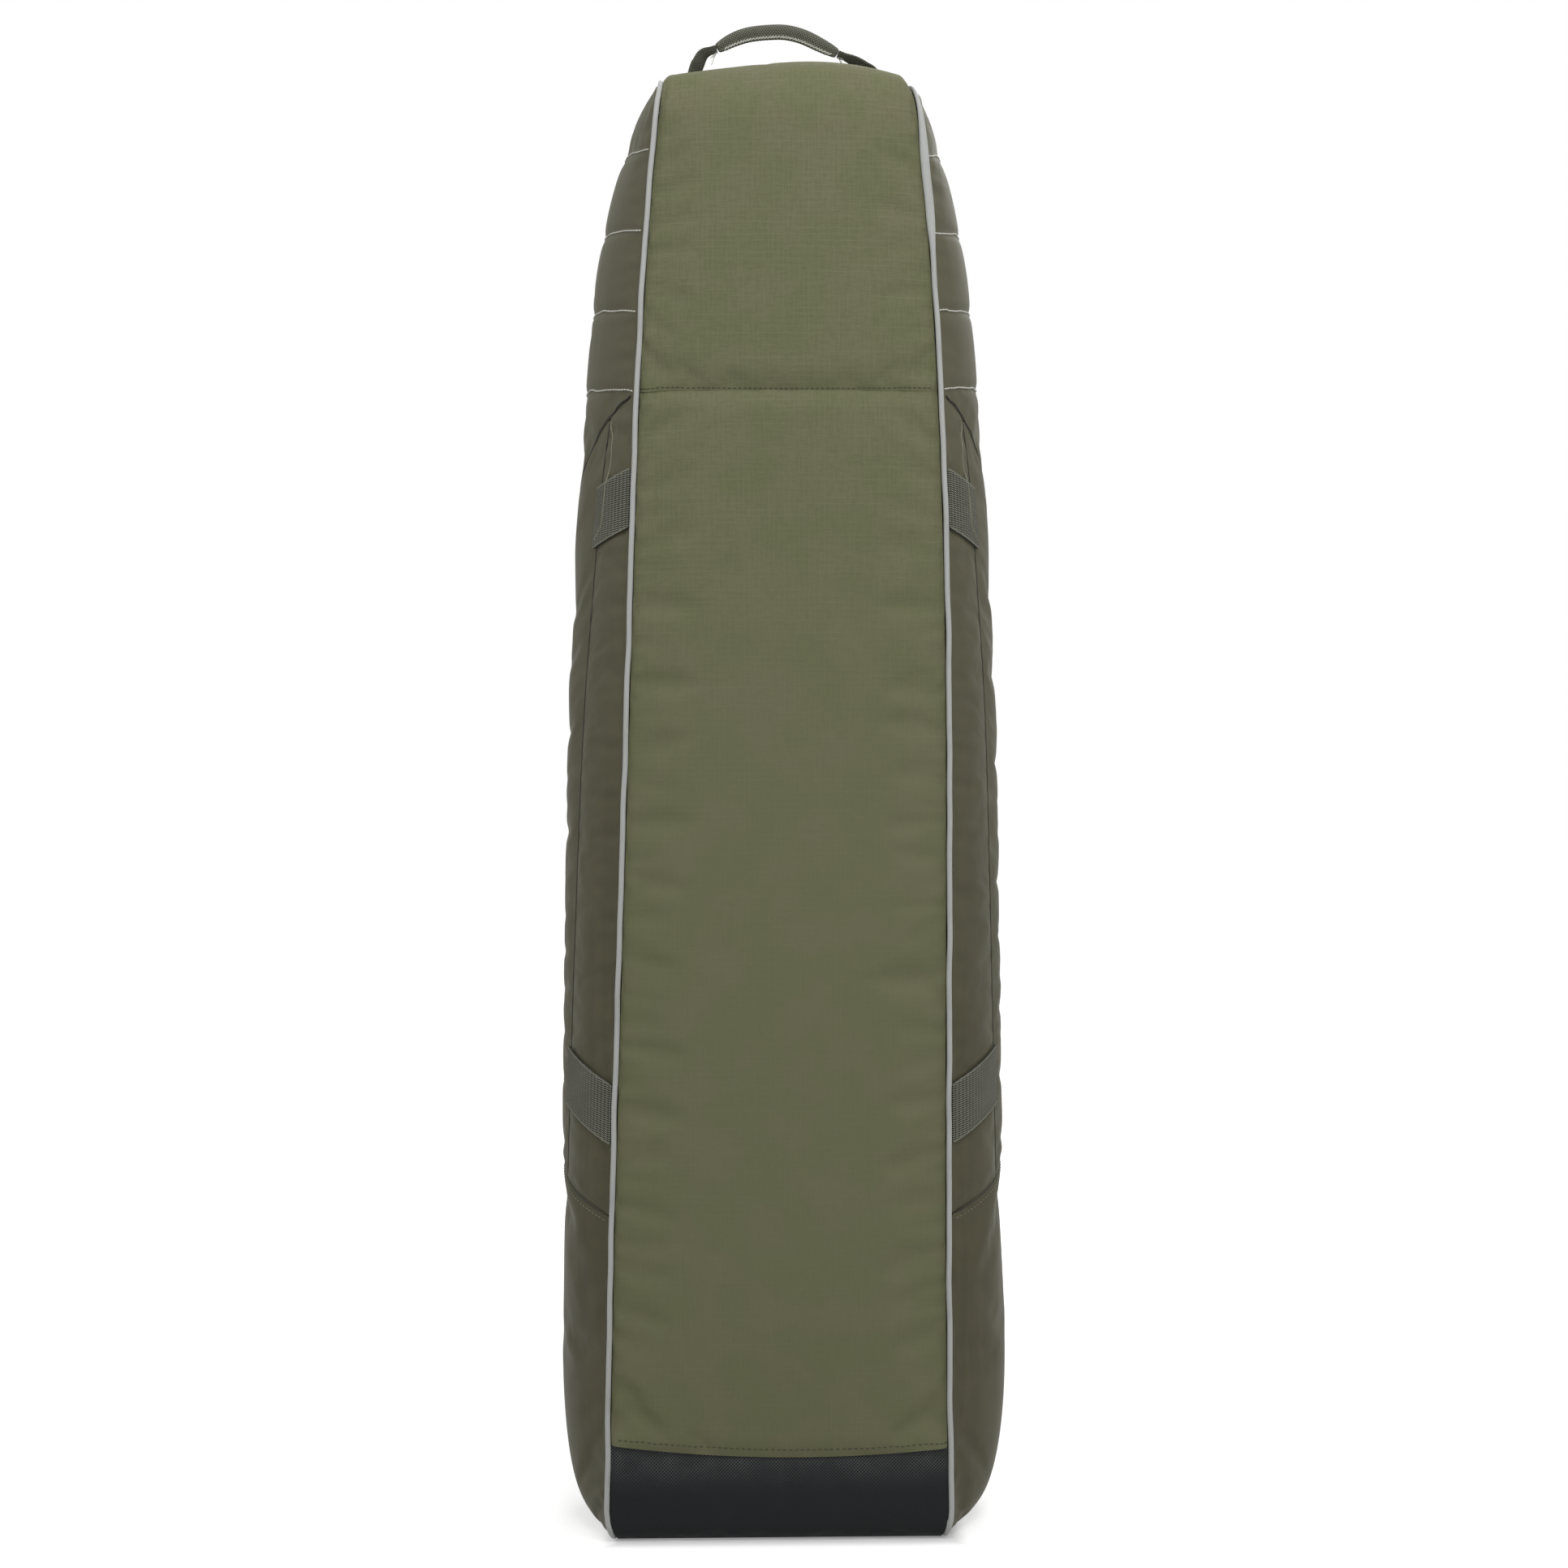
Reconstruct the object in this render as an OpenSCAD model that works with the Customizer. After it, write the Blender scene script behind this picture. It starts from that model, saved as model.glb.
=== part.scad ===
// Padded board bag, standing on its base
// X runs across the bag, Y from the back panel to the zipped front, Z up from the floor

/* [Body] */
// Height of the sewn body without its grab handle
body_h = 1600; // [1540:10:1680]
// Depth between the back panel and the front panel
body_d = 230; // [220:2:250]
// Half the width between the pipings at the base
base_half_w = 187; // [182:1:195]
// Half the width between the pipings at the top
top_half_w = 137; // [133:1:144]
// Width lost on each side by the even taper from base to top
even_taper = 20; // [16:1:22]
// Corner radius between the back or front and the top
top_r = 56; // [50:1:64]
// Corner radius between the back or front and the base
base_r = 18; // [14:1:24]
// Thickness of the sewn and padded skin
skin_t = 6; // [5:0.5:7]
// Crown of the back panel at its middle
back_crown = 10; // [6:1:14]
// Crown of the top at its middle
top_crown = 15; // [10:1:18]
// Height of the tarpaulin boot on the back and the front
boot_h = 95; // [80:1:105]
// Gap left at every sewn seam
seam_gap = 0.4; // [0.3:0.1:0.6]

/* [Sides] */
// How far the filled sides stand out beyond the piping
side_bulge = 66; // [56:1:74]
// Height over which the sides round out above the base
foot_round = 190; // [175:5:215]
// Steepness of that rounding
foot_power = 2.2; // [2:0.1:2.4]
// Fullness of that rounding, fuller at a lower value
foot_full = 0.36; // [0.34:0.02:0.5]
// Lift of a side's inner face where it turns under
foot_skin = 4; // [3:0.5:5]
// Height above which the sides draw in towards the top
draw_in_z = 800; // [740:10:860]
// Length of the quilted nose, from the top down to the cross seam
nose_len = 355; // [340:5:375]
// Dip of the nose seam at the middle of the side
nose_dip = 105; // [85:1:115]
// Height of the tail seam at the piping
tail_h = 353; // [330:1:375]
// Rise of the tail seam at the middle of the side
tail_rise = 46; // [30:1:55]
// Number of quilt lines across the nose
quilt_count = 4; // [3:1:4]
// Distance between quilt lines
quilt_pitch = 86; // [76:1:90]
// Rise of a quilt line at the middle of the side
quilt_arch = 21; // [12:1:26]
// Swell of the padding between two quilt lines
quilt_puff = 4; // [3:1:8]
// Width of the centre side panel at the nose
centre_w_nose = 134; // [110:2:150]
// Extra width of the centre side panel where it flares into the nose
centre_flare = 27; // [15:1:30]
// Width of the centre side panel at the tail
centre_w_tail = 76; // [60:2:100]

/* [Trim] */
// Diameter of the piping cord
pipe_d = 6.5; // [5:0.5:7.5]
// Height of the side webbing bands
band_w = 66; // [50:1:70]
// Thickness of the side webbing bands
band_t = 2.4; // [1.8:0.2:3]
// Drop of the upper band's middle below the cross seam, at the piping
upper_band_drop = 114; // [95:1:140]
// Rise of the lower band's middle above the tail seam, at the piping
lower_band_rise = 110; // [90:1:140]
// Slope of the upper band, as its fall from the piping to the middle of the side
upper_band_fall = 45; // [30:1:60]
// Slope of the lower band, as its lift from the piping to the middle of the side
lower_band_lift = 58; // [40:1:70]

/* [Handles] */
// Distance between the two feet of a handle
handle_span = 206; // [190:2:220]
// Height of the handle webbing's top edge above its pivot
handle_rise = 68; // [62:1:76]
// Width of the webbing in the legs of a handle
leg_w = 30; // [24:1:34]
// Thickness of the handle webbing
handle_web_t = 3; // [2:0.2:4]
// Length of the folded grip
grip_len = 142; // [120:2:150]
// Height of the folded grip
grip_h = 18; // [15:1:22]
// Rise of the grip's arch between its ends
grip_rise = 27; // [20:1:30]
// Thickness of the folded grip
grip_t = 9; // [7:0.5:11]
// Angle at which the carry handle stands off the front
carry_lie = 12; // [11:1:16]
// Thickness of the sewn-down foot of a handle
anchor_t = 3; // [2:0.5:4]

/* [Lid and zip] */
// Width of the lid between its hinge fold and the zip
lid_w = 264; // [240:2:268]
// Distance of the lid's lower edge above the boot
lid_above_boot = 55; // [45:1:70]
// Distance of the lid's upper edge below the top
lid_below_top = 160; // [145:1:180]
// Corner radius of the zip
zip_r = 60; // [50:1:75]
// Half width of the zip with both tapes
tape_w = 12; // [11:0.5:13]
// Thickness of the zip tape
tape_t = 1.2; // [0.8:0.1:1.6]
// Distance between teeth on one side of the zip
tooth_pitch = 10; // [9:0.5:12]
// Length of a tooth across the zip
tooth_l = 5; // [4.6:0.1:5.4]
// Width of a tooth along the zip
tooth_w = 3.6; // [3:0.1:3.8]
// Height of a tooth
tooth_h = 3.6; // [3:0.1:4]
// Reach of a tooth past the middle of the zip
tooth_mesh = 0.8; // [0.4:0.1:1.2]
// Distance of the zip's ends from the hinge fold
zip_end = 28; // [24:1:40]
// Gap at the hinge fold
fold_gap = 0.6; // [0.5:0.1:0.9]
// Length of a slider
slider_l = 24; // [20:1:28]
// Width of a slider at its head
slider_w = 16; // [14:0.5:18]
// Width of a slider at its tail
slider_tail_w = 11.5; // [11:0.5:13]
// Thickness of a slider's plates
slider_t = 1.6; // [1.2:0.1:2]
// Diameter of the pin that carries a pull
pin_d = 2; // [1.6:0.1:2.4]
// Length of a pull from its pin
pull_l = 30; // [26:1:34]
// Width of a pull
pull_w = 9; // [7.5:0.5:10]
// Thickness of a pull
pull_t = 2; // [1.6:0.1:2.4]
// Distance of a pull's pin from the middle of its slider, towards the tail
pin_shift = 6; // [5.5:0.5:7]

/* [Inside] */
// Thickness of the foam pads
pad_t = 8; // [6:1:10]
// Thickness of the stiffener board in the base
board_t = 3; // [2:0.5:4]
// Thickness of the side lining
lining_t = 1.2; // [0.8:0.1:1.6]
// Width of the tie-down straps
tie_w = 38; // [30:1:50]
// Thickness of the tie-down straps
tie_t = 2.2; // [1.8:0.1:2.6]
// Height of the lower tie-down strap
tie_lower_z = 480; // [420:10:560]
// Height of the upper tie-down strap
tie_upper_z = 1050; // [960:10:1120]
// Lap of the two halves of a tie-down strap
tie_lap = 60; // [40:2:80]

/* [Hidden] */
$fn = 48;

olive = "#65674f";
dark_olive = "#524f40";
tarpaulin = "#20211f";
webbing = "#57584d";
piping_grey = "#bcbeb9";
foam_grey = "#4a4c4c";
zip_black = "#1c1c1c";
metal_grey = "#8c8f90";

// Clearance between pieces that seat on each other
fit = 0.3;
// Sharpness of the draw-in of the width and of the sides near the top
width_power = 6;
fall_power = 4;
// Roundness of the swell between two quilt lines, along the side and towards the pipings
puff_power = 0.7;
puff_edge_power = 4;
// Sharpness of the centre panel's flare
flare_power = 6;
// Height above the boot over which the back panel's crown grows
crown_rise = 190;
pipe_r = pipe_d / 2;
// The piping runs this far above the floor
foot_lift = pipe_r + fit;
// Distance from the seam line to the cut edge of a panel beside the piping
seam_in = pipe_r + fit;
// Outward step of a side panel's edge, which keeps its inner edge clear of the strip
edge_step = skin_t - seam_in + fit;
back_y = -body_d / 2;
front_y = body_d / 2;
nose_z = body_h - nose_len;
boot_gap_z = boot_h + seam_gap;
// Height where the nose panel ends on the front
border_top_z = body_h - top_r;
side_low_z = foot_lift + seam_in;
side_high_z = body_h - seam_in;
// Drop of the nose seam below the lowest quilt line, at the piping
nose_seam_drop = 4;
// Grid steps of the sewn panels
side_cols = 12;
strip_cols = 8;
long_rows = 12;
edge_cols = 5;
centre_cols = 8;
nose_back_rows = 5;
nose_hem_rows = 4;
swell_steps = 4;
// Rows of the back panel stand closer together near the boot by this power
row_power = 1.5;

function mix(a, b, f) = a + (b - a) * f;

function half_w(z) =
    let (t = z / body_h)
    base_half_w - even_taper * t - (base_half_w - even_taper - top_half_w) * pow(t, width_power);

// Half the depth of a side panel at a height, drawn in by the rounds at the base and the top
function side_half_d(z) =
    let (
        flat = body_d / 2 - seam_in,
        low_r = base_r - seam_in,
        high_r = top_r - seam_in,
        low_c = foot_lift + base_r,
        high_c = body_h - top_r
    )
    z < low_c ? flat - low_r + sqrt(max(0, low_r * low_r - pow(low_c - z, 2)))
    : z > high_c ? flat - high_r + sqrt(max(0, high_r * high_r - pow(z - high_c, 2)))
    : flat;

function foot_rise(z) =
    let (f = min(1, (z - side_low_z) / foot_round))
    pow(max(0, 1 - pow(1 - f, foot_power)), foot_full);

function top_fall(z) =
    z <= draw_in_z ? 1 : 1 - pow((z - draw_in_z) / (side_high_z - draw_in_z), fall_power);

function bulge(z) = side_bulge * foot_rise(z) * top_fall(z);

// Point of the right side: s is -1 at the back piping and 1 at the front piping
function side_pt(z, s, out) =
    [half_w(z) + edge_step + bulge(z) * (1 - s * s) + out, s * side_half_d(z), z];

function nose_seam(s) = nose_z - nose_seam_drop - nose_dip * (1 - abs(s));
function tail_seam(s) = tail_h + tail_rise * (1 - abs(s));
// Edge of the centre side panel, with f from 0 at the tail to 1 at the nose
function centre_s(f) =
    (mix(centre_w_tail, centre_w_nose, f) + centre_flare * pow(max(0, f), flare_power)) / (body_d - 2 * seam_in);
function long_z(s, f) = mix(tail_seam(s) + seam_gap / 2, nose_seam(s) - seam_gap / 2, f);

function quilt_z(i) = nose_z + i * quilt_pitch;
last_quilt_z = quilt_z(quilt_count - 1);
function band_f(z) =
    z < last_quilt_z ? (z - nose_z) / quilt_pitch - floor((z - nose_z) / quilt_pitch)
    : (z - last_quilt_z) / (side_high_z - last_quilt_z);
function quilt_lift(z, s) =
    quilt_arch * (1 - s * s) * min(1, (side_high_z - z) / (side_high_z - last_quilt_z));
function puff(z, s) =
    z <= nose_z ? 0
    : quilt_puff * pow(max(0, sin(180 * band_f(z))), puff_power) * (1 - pow(s, puff_edge_power));

// Closed skin between an outer and an inner grid of points
module skin(outer, inner) {
    rows = len(outer);
    cols = len(outer[0]);
    half = rows * cols;
    function at(i, j) = i * cols + j;
    points = concat([for (row = outer) each row], [for (row = inner) each row]);
    cells = [
        for (i = [0:rows - 2], j = [0:cols - 2])
            [at(i, j), at(i + 1, j), at(i + 1, j + 1), at(i, j + 1)]
    ];
    function wall(a, b) = [[b, a, a + half], [b, a + half, b + half]];
    faces = concat(
        [for (c = cells) [c[0], c[1], c[2]]],
        [for (c = cells) [c[0], c[2], c[3]]],
        [for (c = cells) [c[0] + half, c[2] + half, c[1] + half]],
        [for (c = cells) [c[0] + half, c[3] + half, c[2] + half]],
        [for (i = [0:rows - 2]) each wall(at(i, 0), at(i + 1, 0))],
        [for (i = [0:rows - 2]) each wall(at(i + 1, cols - 1), at(i, cols - 1))],
        [for (j = [0:cols - 2]) each wall(at(0, j + 1), at(0, j))],
        [for (j = [0:cols - 2]) each wall(at(rows - 1, j), at(rows - 1, j + 1))]
    );
    polyhedron(points, faces);
}

module on_left() { mirror([1, 0, 0]) children(); }

// Back, top and base strip

// Row of the strip: place and outward normal in the YZ plane, and its crown
function strip_row(y, z, ny, nz, crown) = [y, z, ny, nz, crown];
function strip_pt(row, k, out) =
    let (lift = out + row[4] * (1 - k * k))
    [k * (half_w(row[1]) - seam_in), row[0] + row[2] * lift, row[1] + row[3] * lift];
function strip_grid(rows, out) =
    [for (row = rows) [for (j = [0:strip_cols]) strip_pt(row, 2 * j / strip_cols - 1, out)]];

corner_step = 15;
top_flat = body_d / 2 - top_r;
function back_corner(a) =
    let (crown = mix(back_crown, top_crown, a / 90))
    strip_row(-top_flat - top_r * cos(a), border_top_z + top_r * sin(a), -cos(a), sin(a), crown);
function front_corner(a) =
    strip_row(top_flat + top_r * cos(a), border_top_z + top_r * sin(a), cos(a), sin(a), top_crown * a / 90);
nose_rows = concat(
    [
        for (i = [0:nose_back_rows - 1])
            let (z = mix(nose_z + seam_gap / 2, border_top_z, i / nose_back_rows))
            strip_row(back_y, z, -1, 0, back_crown)
    ],
    [for (a = [0:corner_step:90]) back_corner(a)],
    [for (a = [90:-corner_step:0]) front_corner(a)]
);
function back_fade(z) = sin(90 * min(1, (z - boot_gap_z) / crown_rise));
back_rows = [
    for (i = [0:long_rows])
        let (z = mix(boot_gap_z, nose_z - seam_gap / 2, pow(i / long_rows, row_power)))
        strip_row(back_y, z, -1, 0, back_crown * back_fade(z))
];

module strip_panel(rows) { skin(strip_grid(rows, 0), strip_grid(rows, -skin_t)); }

module nose_panel() { color(olive) strip_panel(nose_rows); }

module back_panel() { color(olive) strip_panel(back_rows); }

boot_half_w = half_w(boot_h) - seam_in;

// Section of the boot, open at its top
module boot_section(inset) {
    r = base_r - inset;
    half = body_d / 2 - inset;
    translate([-half + r, inset]) square([2 * (half - r), boot_h]);
    translate([-half, base_r]) square([2 * half, boot_h]);
    for (side = [-1, 1]) translate([side * (half - r), base_r]) circle(r);
}

// Turns a drawing in the YZ plane into a solid centred on X
module across(w) {
    rotate([90, 0, 90]) linear_extrude(w, center = true) children();
}

// Turns a drawing in the XZ plane into a solid from y0 to y1
module through(y0, y1) {
    translate([0, y1, 0]) rotate([90, 0, 0]) linear_extrude(y1 - y0) children();
}

module base_boot() {
    color(tarpaulin) across(2 * boot_half_w)
        intersection() {
            difference() {
                boot_section(0);
                boot_section(skin_t);
            }
            translate([-body_d, 0]) square([2 * body_d, boot_h]);
        }
}

// Outline of the strip between two heights, drawn in from the seam line
module strip_outline(z0, z1, inset) {
    zs = [for (i = [0:long_rows]) mix(z0, z1, i / long_rows)];
    right = [for (z = zs) [half_w(z) - inset, z]];
    left = [for (i = [long_rows:-1:0]) [-half_w(zs[i]) + inset, zs[i]]];
    polygon(concat(right, left));
}

// Sides

module nose_skin() {
    bands = [
        for (i = [0:quilt_count - 2])
            for (k = [0:swell_steps - 1])
                quilt_z(i) + quilt_pitch * k / swell_steps
    ];
    crest = [for (a = [0:corner_step:90]) mix(last_quilt_z, side_high_z, sin(a))];
    zs = concat(bands, crest);
    across_s = [for (j = [0:side_cols]) 2 * j / side_cols - 1];
    function hem_z(s, f) = mix(nose_seam(s) + seam_gap / 2, nose_z + quilt_lift(nose_z, s), f);
    function row(out, swollen) = concat(
        [
            for (i = [0:nose_hem_rows - 1])
                [for (s = across_s) side_pt(hem_z(s, i / nose_hem_rows), s, out)]
        ],
        [
            for (z = zs)
                [for (s = across_s) side_pt(z + quilt_lift(z, s), s, out + swollen * puff(z, s))]
        ]
    );
    skin(row(0, 1), row(-skin_t, 0));
}

module tail_skin() {
    tail_step = 7.5;
    function row(out, lift) = [
        for (a = [0:tail_step:90]) [
            for (j = [0:side_cols])
                let (
                    s = 2 * j / side_cols - 1,
                    z = mix(side_low_z, tail_seam(s) - seam_gap / 2, 1 - cos(a))
                )
                side_pt(z, s, out) + [0, 0, lift * cos(a)]
        ]
    ];
    skin(row(0, 0), row(-skin_t, foot_skin));
}

// Panel of the middle of a side between two lines, each given by its s at the tail and the nose
module long_skin(from, to, cols) {
    function row(out) = [
        for (i = [0:long_rows]) [
            for (j = [0:cols])
                let (f = i / long_rows, s = mix(from(f), to(f), j / cols))
                side_pt(long_z(s, f), s, out)
        ]
    ];
    skin(row(0), row(-skin_t));
}

seam_s = seam_gap / body_d;

module rear_skin() { long_skin(function (f) -1, function (f) -centre_s(f) - seam_s, edge_cols); }

module centre_skin() {
    long_skin(function (f) -centre_s(f) + seam_s, function (f) centre_s(f) - seam_s, centre_cols);
}

module front_skin() { long_skin(function (f) centre_s(f) + seam_s, function (f) 1, edge_cols); }

module side_nose_left() { color(dark_olive) on_left() nose_skin(); }

module side_nose_right() { color(dark_olive) nose_skin(); }

module side_rear_left() { color(dark_olive) on_left() rear_skin(); }

module side_rear_right() { color(dark_olive) rear_skin(); }

module side_centre_left() { color(dark_olive) on_left() centre_skin(); }

module side_centre_right() { color(dark_olive) centre_skin(); }

module side_front_left() { color(dark_olive) on_left() front_skin(); }

module side_front_right() { color(dark_olive) front_skin(); }

module side_tail_left() { color(dark_olive) on_left() tail_skin(); }

module side_tail_right() { color(dark_olive) tail_skin(); }

// Piping, a closed loop of cord round each side panel

pipe_sides = 8;
pipe_rows = 26;
low_c = foot_lift + base_r;
base_flat = body_d / 2 - base_r;
function loop_pt(y, z, ny, nz) = [y, z, ny, nz];
function base_corner(side, a) =
    loop_pt(side * (base_flat + base_r * cos(a)), low_c - base_r * sin(a), side * cos(a), -sin(a));
function top_corner(side, a) =
    loop_pt(side * (top_flat + top_r * cos(a)), border_top_z + top_r * sin(a), side * cos(a), sin(a));
pipe_loop = concat(
    [for (i = [1:pipe_rows - 1]) loop_pt(back_y, mix(low_c, border_top_z, i / pipe_rows), -1, 0)],
    [for (a = [0:corner_step:90]) top_corner(-1, a)],
    [for (a = [90:-corner_step:0]) top_corner(1, a)],
    [for (i = [pipe_rows - 1:-1:1]) loop_pt(front_y, mix(low_c, border_top_z, i / pipe_rows), 1, 0)],
    [for (a = [0:corner_step:90]) base_corner(1, a)],
    [for (a = [90:-corner_step:0]) base_corner(-1, a)]
);

module pipe_ring() {
    rings = len(pipe_loop);
    points = [
        for (p = pipe_loop) for (k = [0:pipe_sides - 1])
            let (a = 360 * k / pipe_sides)
            [half_w(p[1]) + pipe_r * cos(a), p[0] + p[2] * pipe_r * sin(a), p[1] + p[3] * pipe_r * sin(a)]
    ];
    function at(i, k) = (i % rings) * pipe_sides + k % pipe_sides;
    faces = [
        for (i = [0:rings - 1]) for (k = [0:pipe_sides - 1])
            each [
                [at(i, k), at(i, k + 1), at(i + 1, k + 1)],
                [at(i, k), at(i + 1, k + 1), at(i + 1, k)]
            ]
    ];
    polyhedron(points, faces);
}

module piping_left() { color(piping_grey) on_left() pipe_ring(); }

module piping_right() { color(piping_grey) pipe_ring(); }

// Webbing bands sewn flat on the sides, from the piping to the centre panel

band_lift = 0.5;
band_cols = 6;
band_rows = 2;
// Place across the side where a band's height is matched to the centre panel's edge
band_mid_s = 0.5;

// Share of the way from tail to nose of a height on the side
function long_f(z) = (z - tail_h) / (nose_z - tail_h);

// One end of a band: side is -1 at the back and 1 at the front
module band_end(mid_z, slope, side) {
    function band_z(s, h) = mid_z + slope * (1 - abs(s)) + h * band_w;
    function row(out) = [
        for (i = [0:band_rows]) [
            for (j = [0:band_cols])
                let (
                    h = i / band_rows - 1 / 2,
                    inner_s = centre_s(long_f(band_z(band_mid_s, h))) + seam_s,
                    s = side < 0 ? mix(-1, -inner_s, j / band_cols) : mix(inner_s, 1, j / band_cols)
                )
                side_pt(band_z(s, h), s, out)
        ]
    ];
    skin(row(band_lift + band_t), row(band_lift));
}

module band(mid_z, slope) {
    for (side = [-1, 1]) band_end(mid_z, slope, side);
}

module upper_band() { band(nose_z - upper_band_drop, -upper_band_fall); }

module lower_band() { band(tail_h + lower_band_rise, lower_band_lift); }

module band_upper_left() { color(webbing) on_left() upper_band(); }

module band_upper_right() { color(webbing) upper_band(); }

module band_lower_left() { color(webbing) on_left() lower_band(); }

module band_lower_right() { color(webbing) lower_band(); }

// Handles, drawn in their own frame: the pivot runs along X and the arch rises along Z

foot_r = handle_web_t / 2;
pivot_lift = anchor_t + fit + foot_r;
foot_margin = 2;
foot_w = leg_w + 2 * foot_margin;
foot_d = 26;
// Webbing folded round the handle to make its grip
grip_skin = 1;
arch_fn = 180;
arch_r = (pow(grip_len / 2, 2) + pow(grip_rise, 2)) / (2 * grip_rise);

// Grip outline: a low arch of the given height and length, centred on the webbing's top edge
module grip_arc(h, len) {
    intersection() {
        translate([0, handle_rise - arch_r]) difference() {
            circle(arch_r, $fn = arch_fn);
            circle(arch_r - h, $fn = arch_fn);
        }
        translate([-len / 2, 0]) square([len, 2 * handle_rise]);
    }
}

arc_half = grip_len / 2 + leg_w / 4;
arc_drop = arch_r - sqrt(arch_r * arch_r - arc_half * arc_half);
inner_h = grip_h - 2 * fit - 2 * grip_skin;

// Leg from the end of the grip down to the foot
module leg(side) {
    top_z = handle_rise - arc_drop - grip_skin;
    in_x = handle_span / 2 - leg_w / 2;
    polygon([
        [side * (arc_half - leg_w / 2), top_z - inner_h + 2 * grip_skin],
        [side * arc_half, top_z],
        [side * (in_x + leg_w), 0],
        [side * in_x, 0]
    ]);
}

// Turns a drawing in the handle's XZ plane into a solid of the given thickness
module flat_on(t) { through(-t / 2, t / 2) children(); }

module handle_webbing() {
    flat_on(handle_web_t) {
        translate([0, -grip_skin]) grip_arc(inner_h, 2 * arc_half);
        for (side = [-1, 1]) leg(side);
    }
    for (side = [-1, 1])
        translate([side * handle_span / 2 - leg_w / 2, 0, 0])
            rotate([0, 90, 0])
            cylinder(h = leg_w, r = foot_r);
}

module handle_grip() {
    difference() {
        flat_on(grip_t) grip_arc(grip_h, grip_len);
        flat_on(handle_web_t + 2 * fit) {
            translate([0, -grip_skin + fit]) grip_arc(inner_h + 2 * fit, 2 * arc_half + grip_len);
            for (side = [-1, 1]) translate([0, fit]) leg(side);
            for (side = [-1, 1]) translate([0, -fit]) leg(side);
        }
    }
}

// The strap ends sewn down under the handle's pivot
module handle_feet() {
    for (side = [-1, 1])
        translate([side * handle_span / 2 - foot_w / 2, -foot_d / 2, -pivot_lift])
            cube([foot_w, foot_d, anchor_t]);
}

// The grab handle stands on the crowned top: its feet clear the crown at their inner edges
feet_x = handle_span / 2 - foot_w / 2;
top_edge_k = feet_x / (half_w(body_h) - seam_in);
grab_pivot_z = body_h + top_crown * (1 - top_edge_k * top_edge_k) + fit + pivot_lift;
module at_top() { translate([0, 0, grab_pivot_z]) children(); }

module grab_handle_webbing() { color(webbing) at_top() handle_webbing(); }

module grab_handle_grip() { color(webbing) at_top() handle_grip(); }

module grab_handle_feet() { color(webbing) at_top() handle_feet(); }

// The carry handle lies outwards beside the zip, at the middle of the lid
lid_low_z = boot_h + lid_above_boot;
lid_high_z = body_h - lid_below_top;
lid_mid_z = (lid_low_z + lid_high_z) / 2;
carry_x = (lid_w / 2 + tape_w + half_w(lid_mid_z) - seam_in) / 2;
module at_side() {
    translate([carry_x, front_y + fit + pivot_lift, lid_mid_z])
        rotate([0, 0, carry_lie])
        rotate([0, 90, 0])
        children();
}
module at_side_feet() {
    translate([carry_x, front_y + fit + pivot_lift, lid_mid_z])
        rotate([-90, 0, 0])
        rotate([0, 0, 90])
        children();
}

module carry_handle_webbing() { color(webbing) at_side() handle_webbing(); }

module carry_handle_grip() { color(webbing) at_side() handle_grip(); }

module carry_handle_feet() { color(webbing) at_side_feet() handle_feet(); }

// Front border, lid and zip

fold_x = -lid_w / 2;
tape_y = front_y - skin_t / 2;
zip_start_x = fold_x + zip_end;
zip_fn = 96;

// Lid outline grown outwards from the zip's middle line, square at the hinge fold
module lid_shape(grow, fold) {
    r = zip_r + grow;
    x1 = lid_w / 2 + grow;
    z0 = lid_low_z - grow;
    z1 = lid_high_z + grow;
    translate([fold_x + fold, z0]) square([x1 - r - fold_x - fold, z1 - z0]);
    translate([0, z0 + r]) square([x1, z1 - z0 - 2 * r]);
    for (z = [z0 + r, z1 - r]) translate([x1 - r, z]) circle(r, $fn = zip_fn);
}

// Half plane on the hinge side of the zip's ends, or on the other side
module past_zip_end(hinge_side) {
    translate([hinge_side ? zip_start_x - 2 * lid_w : zip_start_x, 0]) square([2 * lid_w, body_h]);
}

// Cut edge of a panel along the zip: away from the zip's middle by its tape, and by a seam at its ends
module zip_edge(away, fold) {
    intersection() {
        lid_shape(away * tape_w, fold);
        past_zip_end(false);
    }
    intersection() {
        lid_shape(away * fold_gap / 2, fold);
        past_zip_end(true);
    }
}

module front_border() {
    color(olive) through(front_y - skin_t, front_y)
        difference() {
            strip_outline(boot_gap_z, border_top_z - seam_gap, seam_in);
            zip_edge(1, -fold_gap / 2);
        }
}

module lid_panel() {
    color(olive) through(front_y - skin_t, front_y) zip_edge(-1, fold_gap / 2);
}

// Margin of the lid's foam inside its tape
pad_margin = 12;
lid_pad_inset = tape_w + pad_margin;
module lid_pad() {
    color(foam_grey) through(front_y - skin_t - fit - pad_t, front_y - skin_t - fit)
        lid_shape(-lid_pad_inset, lid_pad_inset);
}

tooth_root = tooth_l - tooth_mesh;

// Tape on one side of the zip, from the roots of the teeth to the panel's edge
module zip_tape(away) {
    near = tooth_root + fit;
    far = tape_w - fit;
    through(tape_y - tape_t / 2, tape_y + tape_t / 2)
        intersection() {
            difference() {
                lid_shape(away > 0 ? far : -near, 0);
                lid_shape(away > 0 ? near : -far, 0);
            }
            translate([fit, 0]) past_zip_end(false);
        }
}

module zip_tape_border() { color(zip_black) zip_tape(1); }

module zip_tape_lid() { color(zip_black) zip_tape(-1); }

// Middle line of the zip: along the upper edge, down beside the border and back along the lower edge
stop_l = 6;
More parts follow.
